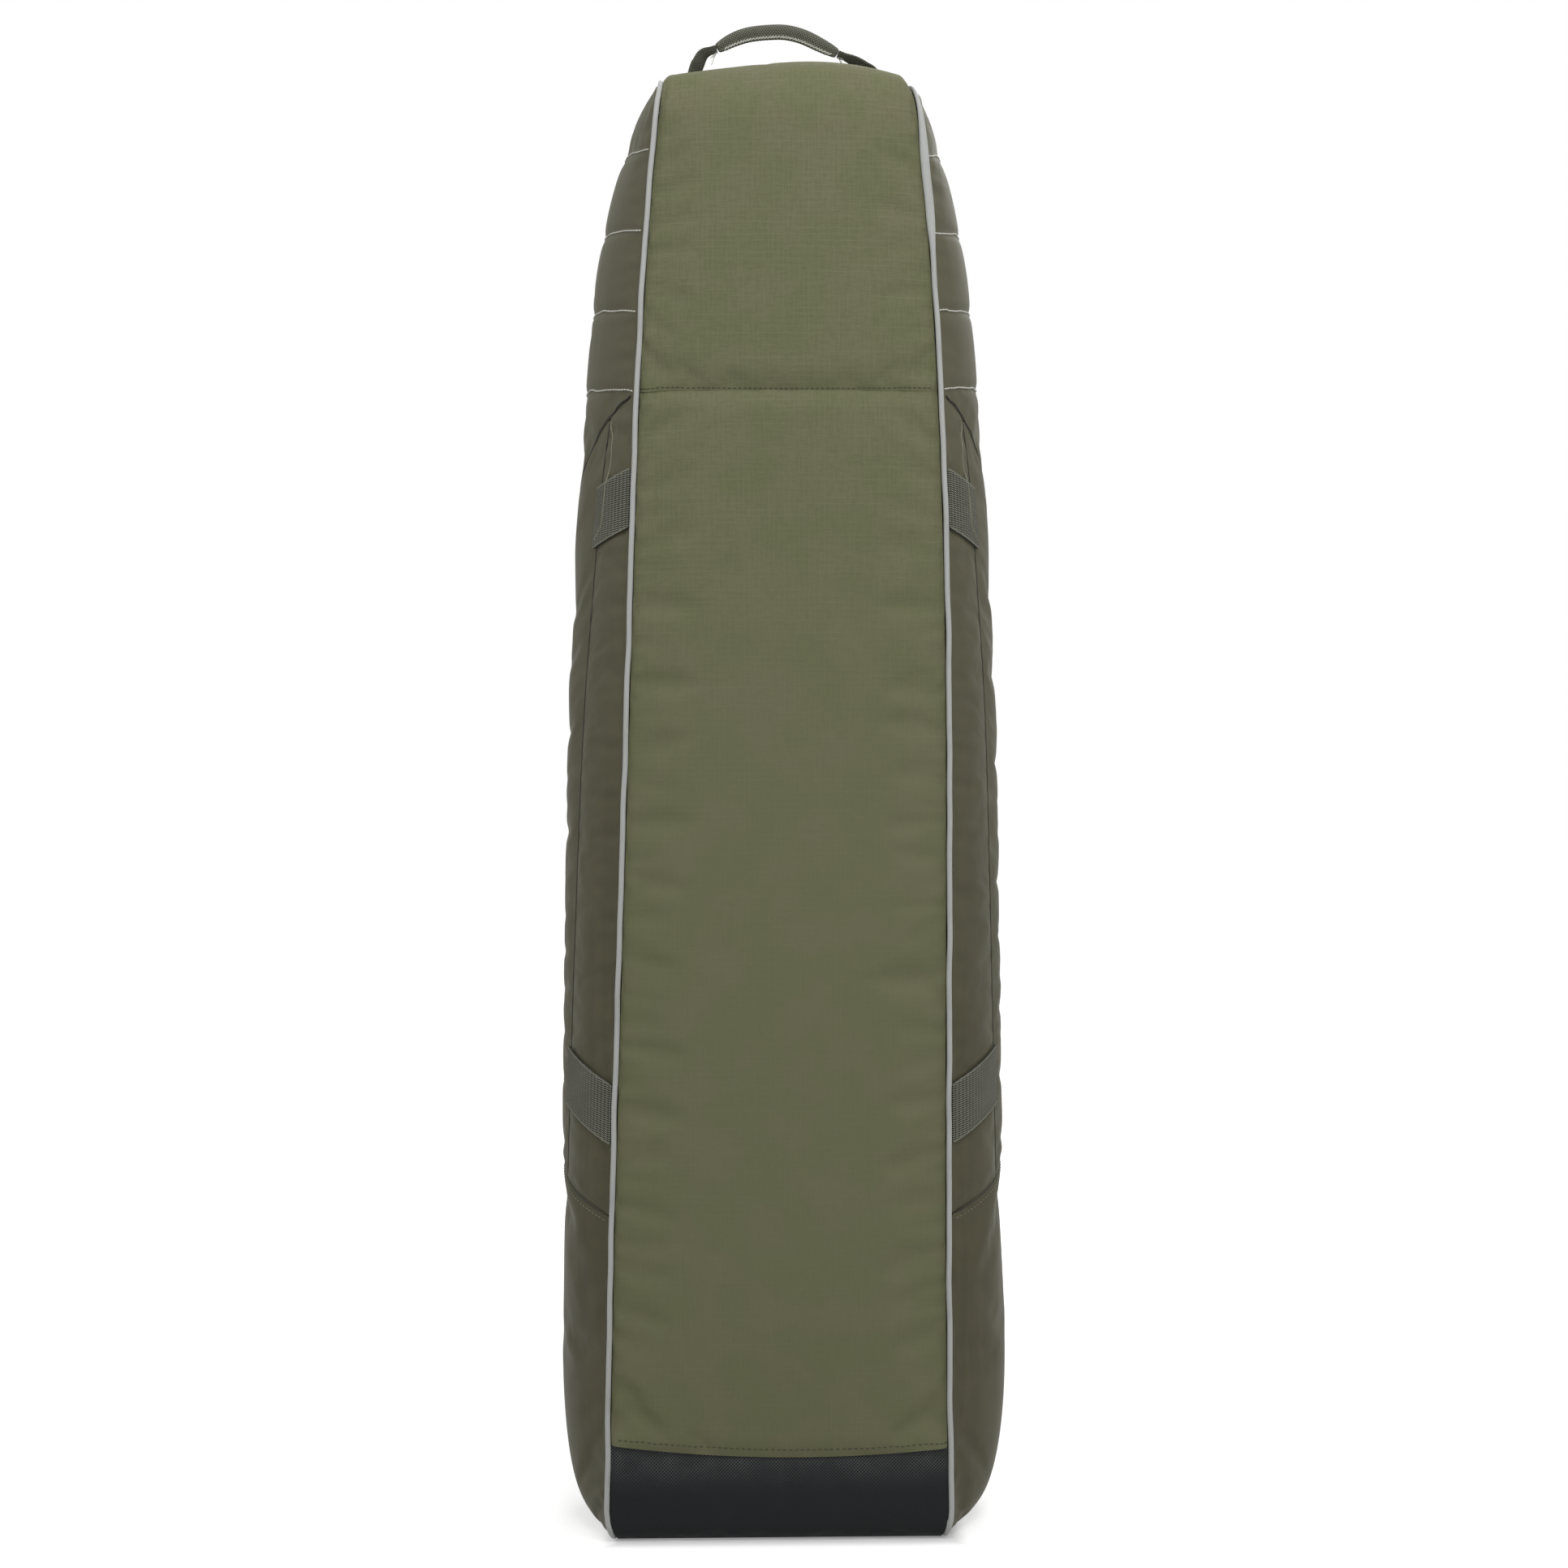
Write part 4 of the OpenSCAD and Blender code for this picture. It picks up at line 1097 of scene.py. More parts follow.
def makeTailSide(which, label):
    cloth = {"stiff": 12, "bend": 0.6, "grow": 0.012, "pressure": 2.0, "cap": 0.005}
    cols, rows, footPower = 40, 56, 1.8
    store = {}

    def place(u, v):
        s = 2 * acrossSide(which, u) - 1
        z = mix(bag["sideLow"], tailSeam(s), v**footPower)
        store["held"] = onEdge(u, v)
        store["seam"] = tailSeam(s) - z
        store["s"] = s
        return onSide(which, s, z)

    piece = addSheet(f"tailSide_{label}", cols, rows, place)
    pushOut(piece, seamDip(store["seam"]) * offEdge(store["s"]))
    settle(piece, store["held"], cloth)
    finishSide(piece, label, "side_tail", 11 + which)
    return piece


stitches = {
    "quilt": {"pitch": 0.0052, "long": 0.0058, "thick": 0.0021, "lift": 0.0005},
    "tail": {"pitch": 0.0060, "long": 0.0042, "thick": 0.0010, "lift": 0.0003},
    "hem": {"pitch": 0.0064, "long": 0.0042, "thick": 0.0010, "lift": 0.0001},
    "cross": {"pitch": 0.0056, "long": 0.0038, "thick": 0.0009, "lift": 0.0001},
    "whip": {"pitch": 0.0036, "long": 0.0056, "thick": 0.0019, "lift": 0.0003, "slant": 0.5},
}
binding = {
    "noseRadius": 0.0012,
    "seamRadius": 0.0010,
    "tailRadius": 0.0008,
    "creaseRadius": 0.0009,
    "sink": 0.0003,
    "step": 0.008,
    "sides": 6,
}


def makeSeamLine(name, onto, path, radius, finish):  # a thin cord drawn into a seam
    spots, normals = snapTo(onto, spaced(path, binding["step"]))
    piece = addTube(name, spots - normals * binding["sink"], radius, binding["sides"], normals)
    shadeSmooth(piece)
    dress(piece, finish, "bag")


def acrossLine(which, heightAt, reach, drop=0.0):  # a line over a side, outside of the inner face
    s = np.linspace(-reach, reach, 120)
    return sidePoint(which, s, heightAt(s) - drop) + np.array([which * side["above"], 0, 0])


def makeSide(which, label):
    nose = makeNoseSide(which, label)
    rear = makeLongSide(which, label, "side_rear", atBack, rearEdge, 12, 20)
    centre = makeLongSide(which, label, "side_centre", rearEdge, centreEdge, 16, 30)
    front = makeLongSide(which, label, "side_front", centreEdge, atFront, 12, 40)
    tail = makeTailSide(which, label)
    for i, z in enumerate(side["quilts"]):
        def quiltLine(s):
            return quiltZ(which, z, s) + side["waver"] * ripple(s, side["waverPitch"], i + which)

        path = acrossLine(which, quiltLine, side["lineReach"])
        row = addStitches(f"quiltStitches_{i + 1}_{label}", [nose], path, stitches["quilt"])
        dress(row, paleThread, "bag")
    strips = [rear, centre, front]
    # the dark cords in these seams are black binding and painted shade of the seams' gaps
    for key, seam, onto in (("nose", noseSeam, [nose] + strips), ("tail", tailSeam, strips + [tail])):
        path = acrossLine(which, seam, side["lineReach"])
        makeSeamLine(f"{key}Seam_{label}", onto, path, binding[f"{key}Radius"], blackBindingAndSeamShade)
    f = np.linspace(0, 1, 160)
    # dark cords along the centre panel's seams: black binding and painted shade of the seams' gaps
    for key, edge in (("rear", rearEdge), ("front", centreEdge)):
        path = alongSide(which, edge(f), f)
        makeSeamLine(f"{key}Seam_{label}", strips, path, binding["seamRadius"], blackBindingAndSeamShade)
    path = acrossLine(which, tailSeam, side["stitchReach"], side["stitchDrop"])
    row = addStitches(f"tailStitches_{label}", [tail], path, stitches["tail"])
    dress(row, oliveThread, "bag")
    bands = {name: makeBand(which, label, name) for name in bandLine}
    makeCrease(which, f"rearCrease_{label}", -1, [rear, bands["upper"]])
    makeCrease(which, f"frontCrease_{label}", 1, [front, bands["upper"]])


def makeCrease(which, name, end, onto):  # a folded edge beside the centre panel, down over the upper band
    crease = {
        "from": 0.995,
        "to": 0.85,
        "off": 0.125,
        "start": 0.45,
        "openTo": 0.35,
        "closeFrom": 0.92,
        "close": 0.85,
        "rise": 0.006,
        "count": 60,
    }
    t = np.linspace(0, 1, crease["count"])
    f = mix(crease["from"], crease["to"], t)
    opened = mix(crease["start"], 1.0, smooth(t, 0, crease["openTo"]))
    off = crease["off"] * opened * (1 - crease["close"] * smooth(t, crease["closeFrom"], 1.0))
    path = alongSide(which, end * (centreEdge(f) + off), f)
    path[:, 0] += which * crease["rise"]
    makeSeamLine(name, onto, path, binding["creaseRadius"], oliveThread)


def makeBand(which, label, name):  # a stub of webbing at the back and one at the front, as one piece
    stubs = []
    for end in (-1, 1):
        def place(u, v):
            across = v - 0.5
            mid = bandZ(name, 0.5) + across * band["wide"]
            inner = centreEdge((mid - side["tailZ"]) / (bag["noseZ"] - side["tailZ"]))
            way = acrossSide(which, u)
            s = mix(-1, -inner, way) if end < 0 else mix(inner, 1, way)
            z = bandZ(name, s) + across * band["wide"]
            points, flat = onSide(which, s, z)
            return points, columns(flat[:, 0], across * band["wide"])

        stub = addSheet(f"band_{name}_{label}_{end}", band["cols"], band["rows"], place)
        pushOut(stub, np.full(len(stub.data.vertices), band["lift"] + band["thick"]))
        subdivide(stub)
        thicken(stub, band["thick"])
        stubs.append(stub)
    piece = join(stubs, f"band_{name}_{label}")
    shadeSmooth(piece, 45)
    return dress(piece, bandWeb, "bag", [f"band_{name}_{label}"])


def makeSides():
    for which, label in bothSides:
        makeSide(which, label)
        print("side", label)


# Back, nose and base

backPanel = {
    "cols": 54,
    "rows": 150,
    "hemRise": 0.0085,
    "hemSag": 0.0110,
    "hemLean": 0.0027,
    "hemLift": 0.0022,
    "hemReach": 0.030,
    "lap": 0.0015,
    "valley": 0.0013,
    "valleyReach": 0.016,
    "thick": 0.0030,
}
nosePanel = {"cols": 48, "rows": 92, "valley": 0.0010, "valleyReach": 0.010, "thick": 0.0030, "lean": 0.003}
edgeTuck = {
    "deep": 0.0026,
    "reach": 0.0090,
    "crowd": 0.7,
    "shoulder": 0.010,
    "follow": {right: 0.55, left: 0.10},  # share of the shoulder's fall that the strip takes
}
panelPucker = {"deep": 0.0013, "reach": 0.013, "pitch": 0.034, "start": 0.003, "apart": 0.4}
seamRow = {"reach": 0.985, "count": 200, "clear": 0.01, "hemUp": 0.0075, "crossUp": 0.0025}
rowAcross = np.linspace(-seamRow["reach"], seamRow["reach"], seamRow["count"])
panelCloth = {"stiff": 14, "bend": 0.8, "grow": 0.010, "pressure": 1.5, "cap": 0.006}


def hemZ(k):  # lower edge of the back panel, which sags over the boot
    sag = bag["bootHigh"] + backPanel["hemRise"] - backPanel["hemSag"] * (1 - k * k)
    return sag - backPanel["hemLean"] * k


def backRow(z, heights):  # a line across the back, clear of the cloth
    return columns(rowAcross * halfWidth(z), -bag["halfDeep"] - seamRow["clear"], heights)


def acrossStrip(u):  # columns of the strip, closer together towards the pipings
    t = 2 * u - 1
    return mix(t, np.sin(math.pi / 2 * t), edgeTuck["crowd"])


def fromPiping(k, z):
    return (1 - abs(k)) * (halfWidth(z) - bag["seamIn"])


def tuckIn(k, z):  # the cloth dives beside the piping
    return edgeTuck["deep"] * (1 - smooth(fromPiping(k, z), 0, edgeTuck["reach"]))


def shoulderFall(k, z):  # how far the strip falls with the shoulders, beside the piping only
    falls = {which: edgeTuck["follow"][which] * (z - lowered(which, z)) for which in (right, left)}
    near = 1 - smooth(fromPiping(k, z), 0, edgeTuck["shoulder"])
    return np.where(k > 0, falls[right], falls[left]) * near


def edgeGap(points):  # distance of a point of the strip from the piping
    x, y, z = points.T
    return np.maximum(halfWidth(z) - bag["seamIn"] - abs(x - sway(y, z)), 0)


def makeBackPanel():
    store = {}

    def place(u, v):
        k = acrossStrip(u)
        z = mix(hemZ(k), bag["noseZ"] + backPanel["lap"], v)
        risen = np.clip((z - bag["bootHigh"]) / bag["crownRise"], 0, 1)
        lift = bag["backCrown"] * np.sin(math.pi / 2 * risen) * (1 - k * k) - tuckIn(k, z)
        lift = lift + backPanel["hemLift"] * (1 - smooth(z - hemZ(k), 0, backPanel["hemReach"]))
        lift = lift - backPanel["valley"] * (1 - smooth(bag["noseZ"] - z, 0, backPanel["valleyReach"]))
        store["held"] = onEdge(u, v)
        x = k * (halfWidth(z) - bag["seamIn"]) + sway(-bag["halfDeep"], z)
        return columns(x, -bag["halfDeep"] - lift, z), columns(x, z)

    piece = addSheet("backPanel", backPanel["cols"], backPanel["rows"], place)
    settle(piece, store["held"], panelCloth)
    subdivide(piece)
    points = readPoints(piece)
    along = points[:, 2] + panelPucker["apart"] * np.sign(points[:, 0])
    pucker(piece, edgeGap(points), along, panelPucker, 5)
    thicken(piece, backPanel["thick"])
    shadeSmooth(piece)
    dress(piece, ripstop, "bag", ["back_panel"])
    hem = backRow(bag["bootHigh"], hemZ(rowAcross) + seamRow["hemUp"])
    row = addStitches("hemStitches", [piece], hem, stitches["hem"])
    dress(row, darkThread, "bag")


def nosePath(v):  # place and outward direction along the nose panel, in the YZ plane
    straight = bag["cornerZ"] - bag["noseZ"]
    arc = math.pi / 2 * bag["topRound"]
    flat = 2 * (bag["halfDeep"] - bag["topRound"])
    run = v * (straight + 2 * arc + flat)
    turn = np.clip((run - straight) / bag["topRound"], 0, math.pi / 2)
    turn = turn + np.clip((run - straight - arc - flat) / bag["topRound"], 0, math.pi / 2)
    middle = np.clip(run - straight - arc, 0, flat)
    y = -flat / 2 + middle - bag["topRound"] * np.cos(turn)
    z = bag["cornerZ"] - straight + np.minimum(run, straight) + bag["topRound"] * np.sin(turn)
    return y, z, -np.cos(turn), np.sin(turn), run, turn


foot = {
    "at": 0.103,
    "long": 0.034,
    "deep": 0.026,
    "thick": 0.0026,
    "lift": 0.0006,
    "pivotLift": 0.0018,
    "held": 0.7,  # reach of the cloth that lies still under a pad
    "cols": 10,
    "rows": 8,
    "bevel": 0.0008,
    "sewLong": 0.024,
    "sewDeep": 0.016,
    "clearTop": 0.012,
    "clearFront": 0.006,
}


def makeNosePanel():
    cloth = {"stiff": 14, "bend": 0.8, "grow": 0.012, "pressure": 2.0, "cap": 0.006}
    store = {}

    def place(u, v):
        k = acrossStrip(u)
        y, z, ny, nz, run, turn = nosePath(v)
        overTop = np.clip(turn / (math.pi / 2), 0, 1)
        toFront = np.clip(2 - turn / (math.pi / 2), 0, 1)
        crown = mix(bag["backCrown"], bag["topCrown"], overTop) * toFront
        lift = crown * (1 - k * k) + nosePanel["lean"] * overTop * toFront * np.sin(math.pi * k)
        lift = lift - nosePanel["valley"] * (1 - smooth(run, 0, nosePanel["valleyReach"])) - tuckIn(k, z)
        x = k * (halfWidth(z) - bag["seamIn"]) + sway(y, z)
        besideFoot = abs(abs(x) - foot["at"]) < foot["long"] * foot["held"]
        store["held"] = onEdge(u, v) | (abs(y) < foot["deep"] * foot["held"]) & besideFoot
        points = columns(x, y + ny * lift, z + nz * lift - shoulderFall(k, z))
        return points, columns(x, bag["noseZ"] + run)

    piece = addSheet("nosePanel", nosePanel["cols"], nosePanel["rows"], place)
    settle(piece, store["held"], cloth)
    subdivide(piece)
    points = readPoints(piece)
    along = readCloth(piece)[:, 1] + panelPucker["apart"] * np.sign(points[:, 0])
    pucker(piece, edgeGap(points), along, panelPucker, 9)
    thicken(piece, nosePanel["thick"])
    shadeSmooth(piece)
    dress(piece, ripstop, "bag", ["nose_panel"])
    seam = backRow(bag["noseZ"], bag["noseZ"] + seamRow["crossUp"])
    row = addStitches("crossSeamStitches", [piece], seam, stitches["cross"])
    dress(row, darkThread, "bag")


boot = {
    "cols": 56,
    "rows": 72,
    "top": 0.1085,
    "frontTop": 0.1010,
    "tuckFront": 0.0022,
    "tuckBack": 0.0010,
    "tuckFrom": 0.008,  # how far below the seam the boot begins to go behind the panel and the border
    "tuckTo": 0.001,
    "bulge": 0.0012,
    "bulgeFrom": 0.006,
    "bulgeTo": 0.040,
    "heldLow": 0.004,
    "heldTop": 0.014,
    "thick": 0.0020,
}


def bootPath(v):  # down the back, under the base and up the front
    r = bag["baseRound"]
    straight = boot["top"] - r
    arc = math.pi / 2 * r
    flat = 2 * (bag["halfDeep"] - r)
    run = v * (straight + 2 * arc + flat + boot["frontTop"] - r)
    turn = np.clip((run - straight) / r, 0, math.pi / 2)
    turn = turn + np.clip((run - straight - arc - flat) / r, 0, math.pi / 2)
    middle = np.clip(run - straight - arc, 0, flat)
    up = np.maximum(run - straight - 2 * arc - flat, 0)
    y = -flat / 2 + middle - r * np.cos(turn)
    z = r - r * np.sin(turn) + np.maximum(straight - run, 0) + up
    return y, z, -np.cos(turn), -np.sin(turn), run


def makeBoot():
    cloth = {"stiff": 16, "bend": 1.5, "grow": 0.008, "pressure": 1.0, "cap": 0.003}
    store = {}

    def place(u, v):
        k = 1 - 2 * u
        y, z, ny, nz, run = bootPath(v)
        under = smooth(z, bag["bootHigh"] - boot["tuckFrom"], bag["bootHigh"] - boot["tuckTo"])
        tuck = np.where(y > 0, boot["tuckFront"], boot["tuckBack"])
        bulge = boot["bulge"] * (1 - k**2) * smooth(z, boot["bulgeFrom"], boot["bulgeTo"])
        lift = mix(bulge, -tuck, under)
        still = (z < boot["heldLow"]) | (z > bag["bootHigh"] - boot["heldTop"])
        store["held"] = onEdge(u, v) | still
        x = k * (halfWidth(np.minimum(z, bag["bootHigh"])) - bag["seamIn"])
        store["length"] = run.max()
        store["width"] = 2 * x.max()
        points = columns(x + sway(y, z), y + ny * lift, z + nz * lift)
        return points, columns(x, run)

    piece = addSheet("baseBoot", boot["cols"], boot["rows"], place)
    settle(piece, store["held"], cloth)
    subdivide(piece)
    thicken(piece, boot["thick"])
    shadeSmooth(piece)
    dress(piece, tarpaulin, "bag", ["base_boot"])


def pipeLoop():  # the seam line round a side, as y and z with outward directions
    r1, r2 = bag["baseRound"], bag["topRound"]
    lowC, highC = bag["seamIn"] + r1, bag["cornerZ"]
    deep = bag["halfDeep"]
    quarter = np.linspace(0, math.pi / 2, pipe["cornerCount"])
    climb = np.linspace(lowC, highC, int((highC - lowC) / pipe["step"]))[1:-1]
    flatTop = np.linspace(r2 - deep, deep - r2, pipe["topCount"])[1:-1]
    flatLow = np.linspace(deep - r1, r1 - deep, pipe["baseCount"])[1:-1]
    parts = [
        (np.full(len(climb), -deep), climb, -1 + 0 * climb, 0 * climb),
        (r2 - deep - r2 * np.cos(quarter), highC + r2 * np.sin(quarter), -np.cos(quarter), np.sin(quarter)),
        (flatTop, np.full(len(flatTop), highC + r2), 0 * flatTop, 1 + 0 * flatTop),
        (deep - r2 + r2 * np.sin(quarter), highC + r2 * np.cos(quarter), np.sin(quarter), np.cos(quarter)),
        (np.full(len(climb), deep), climb[::-1], 1 + 0 * climb, 0 * climb),
        (deep - r1 + r1 * np.cos(quarter), lowC - r1 * np.sin(quarter), np.cos(quarter), -np.sin(quarter)),
        (flatLow, np.full(len(flatLow), lowC - r1), 0 * flatLow, -1 + 0 * flatLow),
        (r1 - deep - r1 * np.sin(quarter), lowC - r1 * np.cos(quarter), -np.sin(quarter), -np.cos(quarter)),
    ]
    return [np.concatenate([part[k] for part in parts]) for k in range(4)]


def makePiping(which, label):
    y, z, ny, nz = pipeLoop()
    run = np.cumsum(np.hypot(np.diff(y, append=y[:1]), np.diff(z, append=z[:1])))
    x = which * (halfWidth(z) + pipe["wander"] * ripple(run, pipe["wanderPitch"], 2 + which)) + sway(y, z)
    path = columns(x, y, lowered(which, z))
    outward = columns(0 * y, ny, nz)
    widen = np.ones((len(y), 1))
    if which == right:
        flat = pipe["flat"] * smooth(z, *pipe["flatLow"]) * (1 - smooth(z, *pipe["flatHigh"])) * (y < 0)
        widen[:, 0] += flat - pipe["taper"] * smooth(z, *pipe["taperFrom"])
    piece = addTube(f"piping_{label}Cord", path, pipe["radius"], pipe["sides"], outward, True, widen)
    shadeSmooth(piece)
    dress(piece, pipingCloth, "bag", [f"piping_{label}"])


seamBinding = {"strip": (0.0045, 0.0145), "side": (0.0170, 0.0035), "thick": 0.0012}


def makeSeamBinding(which, label):  # a tape that closes the seam on the inside, from the strip to the side
    y, z, ny, nz = pipeLoop()
    path = columns(which * halfWidth(z) + sway(y, z), y, lowered(which, z))
    outward = columns(0 * y, ny, nz)
    first = -np.array(seamBinding["strip"]) * np.array([1, which])
    last = -np.array(seamBinding["side"]) * np.array([1, which])
    along = (last - first) / np.linalg.norm(last - first)
    half = np.array([-along[1], along[0]]) * seamBinding["thick"] / 2
    outline = np.array([first - half, last - half, last + half, first + half])
    aside = np.tile(np.array([1.0, 0, 0]), (len(y), 1))
    piece = addSweep(f"seamBinding_{label}", path, outward, aside, outline, closed=True)
    shadeSmooth(piece, 40)
    dress(piece, liningCloth, "bag")


# Handles, drawn in their own frame: the pivot runs along X and the arch rises along Z

grabShape = {
    "grip": [
        (-0.0722, 0.0392), (-0.0545, 0.0490), (-0.0360, 0.0553), (-0.0134, 0.0580),
        (0.0061, 0.0580), (0.0255, 0.0532), (0.0450, 0.0440), (0.0645, 0.0340),
    ],
    "legs": [
        [(-0.0722, 0.0392), (-0.0868, 0.0335), (-0.0938, 0.0215), (-0.0985, 0.0120), (-0.1035, -0.0050)],
        [(0.0645, 0.0340), (0.0820, 0.0268), (0.0972, 0.0181), (0.1070, 0.0110), (0.1105, -0.0020)],
    ],
    "twists": [(30, 62, 74), (-40, -78, -84)],
    "wide": 0.0260,
    "bends": True,
}
carryShape = {
    "grip": [
        (-0.0652, 0.0425), (-0.0488, 0.0544), (-0.0260, 0.0640), (0.0, 0.0675),
        (0.0260, 0.0640), (0.0488, 0.0544), (0.0652, 0.0425),
    ],
    "legs": [
        [(-0.0640, 0.0430), (-0.0790, 0.0390), (-0.0910, 0.0290), (-0.0990, 0.0150), (-0.1030, 0.0)],
        [(0.0640, 0.0430), (0.0790, 0.0390), (0.0910, 0.0290), (0.0990, 0.0150), (0.1030, 0.0)],
    ],
    "twists": [(0, 20, 35), (0, -20, -35)],
    "wide": 0.0130,
    "bends": False,
}
carryLie = 12
grip = {
    "tall": 0.0170,
    "thick": 0.0110,
    "endScale": 0.62,
    "endPower": 5,
    "wobble": 0.05,
    "wobblePitch": 0.37,
    "rows": 44,
    "stitchAt": 0.05,
}
leg = {
    "neck": 0.0095,
    "neckTo": 0.12,
    "fullFrom": 0.55,
    "cup": 0.18,
    "cloth": 0.06,
    "thick": 0.0026,
    "rows": 26,
    "cols": 10,
}
root = {"radius": 0.0026, "wide": 0.0250, "sides": 10, "points": 6}
tuft = {
    "count": 5,
    "long": 0.009,
    "radius": 0.00028,
    "points": 6,
    "sides": 4,
    "lean": 0.6,
    "drop": 0.004,
    "spread": 0.9,
    "spreadTurn": 2.3,
    "hang": -0.5,
    "stray": 0.45,
    "strayTurn": 1.7,
    "sag": -0.35,
    "shortest": 0.7,
    "longer": 0.15,
}


def bend(points, count):  # a smooth curve through a few points in the XZ plane
    points = np.array(points)
    knots = np.concatenate([2 * points[:1] - points[1:2], points, 2 * points[-1:] - points[-2:-1]])
    place = np.linspace(0, len(points) - 1, count)
    i = np.minimum(place.astype(int), len(points) - 2)
    f = (place - i)[:, None]
    a, b, c, d = knots[i], knots[i + 1], knots[i + 2], knots[i + 3]
    path = b + f / 2 * (c - a + f * (2 * a - 5 * b + 4 * c - d + f * (3 * (b - c) + d - a)))
    return columns(path[:, 0], 0 * place, path[:, 1])


def toPlace(piece, matrix):
    piece.data.transform(matrix)


def gripOutline():  # folded webbing: round at the top, pinched at the stitching, open below
    h = np.array([0.00, 0.06, 0.16, 0.26, 0.42, 0.60, 0.76, 0.88, 0.96, 1.00])
    w = np.array([0.30, 0.42, 0.46, 0.44, 0.78, 0.98, 1.00, 0.84, 0.50, 0.16])
    one = columns(w * grip["thick"] / 2, (h - 0.5) * grip["tall"])
    other = one[::-1] * np.array([-1, 1])
    return np.concatenate([one, other])


def makeGrip(name, shape):
    path = bend(shape["grip"], grip["rows"])
    radial = np.cross(alongPath(path), np.array([0, 1, 0]))
    ends = np.linspace(-1, 1, grip["rows"])
    scale = mix(1.0, grip["endScale"], abs(ends) ** grip["endPower"])[:, None]
    wobble = 1 + grip["wobble"] * ripple(ends, grip["wobblePitch"], 4)[:, None]
    aside = np.array([0, 1, 0]) * scale * wobble
    piece = addSweep(name, path, aside, radial * scale, gripOutline())
    subdivide(piece)
    shadeSmooth(piece)
    level = (grip["stitchAt"] - 0.5) * grip["tall"]
    rows = [path + radial * level * scale + np.array([0, sign * grip["thick"], 0]) for sign in (-1, 1)]
    return piece, [row[2:-2] for row in rows]


def makeLeg(name, points, twist, full):
    path = bend(points, leg["rows"])
    tangent = alongPath(path)
    aside = np.cross(tangent, np.array([0, 1, 0]))
    share = np.linspace(0, 1, leg["rows"])
    angle = np.radians(np.interp(share, [0, 0.5, 1], twist))[:, None]
    stops = [0, leg["neckTo"], leg["fullFrom"], 1]
    wide = np.interp(share, stops, [leg["neck"], leg["neck"], full, full])[:, None]
    across = (aside * np.cos(angle) + np.array([0, 1, 0]) * np.sin(angle)) * wide
    face = np.cross(tangent, across)
    face = face / np.linalg.norm(face, axis=1)[:, None]

    def place(u, v):
        row = np.rint(v * (leg["rows"] - 1)).astype(int)
        k = (u - 0.5)[:, None]
        points = path[row] + across[row] * k + face[row] * wide[row] * leg["cup"] * (0.25 - k * k)
        return points, columns((u - 0.5) * full, v * leg["cloth"])

    piece = addSheet(name, leg["cols"], leg["rows"] - 1, place)
    applyModifier(piece, "SOLIDIFY", {"thickness": leg["thick"], "offset": 0})
    subdivide(piece)
    shadeSmooth(piece)
    return piece


def makeTufts(name, ends):  # frayed thread ends at the ends of a grip
    strands = []
    for e, (spot, away) in enumerate(ends):
        for i in range(tuft["count"]):
            spread = tuft["spread"] * math.sin(tuft["spreadTurn"] * i + e)
            stray = tuft["stray"] * math.sin(tuft["strayTurn"] * i + 2 * e)
            lean = np.array([away, spread, tuft["hang"] + stray])
            share = np.linspace(0, 1, tuft["points"])[:, None]
            sag = np.array([0, 0, tuft["sag"] * tuft["long"]]) * share**2
            long = tuft["shortest"] + tuft["longer"] * i
            path = np.array(spot) + lean * tuft["long"] * share * long + sag
            normal = np.tile(np.array([0.0, 1.0, 0.2]), (tuft["points"], 1))
            strands.append(addTube(f"{name}_{e}_{i}", path, tuft["radius"], tuft["sides"], normal))
    return join(strands, name)


def makeHandle(name, body, shape, matrix):
    holder, rows = makeGrip(f"{name}Grip", shape)
    pieces = []
    for key, row in zip(("back", "front"), rows):
        pieces.append(addStitches(f"{name}Whip_{key}", [holder], row, stitches["whip"]))
    ends = [(points[0][0], 0, points[0][1] - tuft["drop"]) for points in shape["legs"]]
    pieces.append(makeTufts(f"{name}Threads", [(ends[0], -tuft["lean"]), (ends[1], tuft["lean"])]))
    toPlace(holder, matrix)
    # the grip wears the handle's webbing painted lighter (painted light)
    dress(holder, paintedLightGripWeb, body, [f"{name}_grip"])
    for piece in pieces:
        toPlace(piece, matrix)
        dress(piece, paleThread, body)
    for i, key in enumerate(("first", "second")):
        strap = makeLeg(f"{name}Leg_{key}", shape["legs"][i], shape["twists"][i], shape["wide"])
        toPlace(strap, matrix)
        ends = [matrix @ Vector((x, 0, z)) for x, z in (shape["legs"][i][-1], shape["legs"][i][0])]
        nodes = [f"{name}_webbing"] if i == 0 else []
        dress(strap, handleWeb, body, nodes, ends if shape["bends"] else None)


def makeFeet(name, surface):  # two sewn-down ends; surface gives points and flat cloth
    pads = []
    for end in (-1, 1):
        def place(u, v):
            return surface(end, (u - 0.5) * foot["long"], (v - 0.5) * foot["deep"])

        pad = addSheet(f"{name}_{end}", foot["cols"], foot["rows"], place)
        pushOut(pad, np.full(len(pad.data.vertices), foot["lift"] + foot["thick"]))
        thicken(pad, foot["thick"])
        bevel(pad, foot["bevel"])
        pads.append(pad)
    piece = join(pads, f"{name}Pads")
    shadeSmooth(piece, 40)
    return dress(piece, handleWeb, "bag", [name])


def makeRoot(name, spot):  # the fold where a leg of the grab handle leaves its pad
    reach = np.linspace(-root["wide"] / 2, root["wide"] / 2, root["points"])[:, None]
    up = np.tile(np.array([0, 0, 1.0]), (len(reach), 1))
    piece = addTube(name, spot + np.array([0, 1, 0]) * reach, root["radius"], root["sides"], up)
    shadeSmooth(piece)
    dress(piece, handleWeb, "bag")


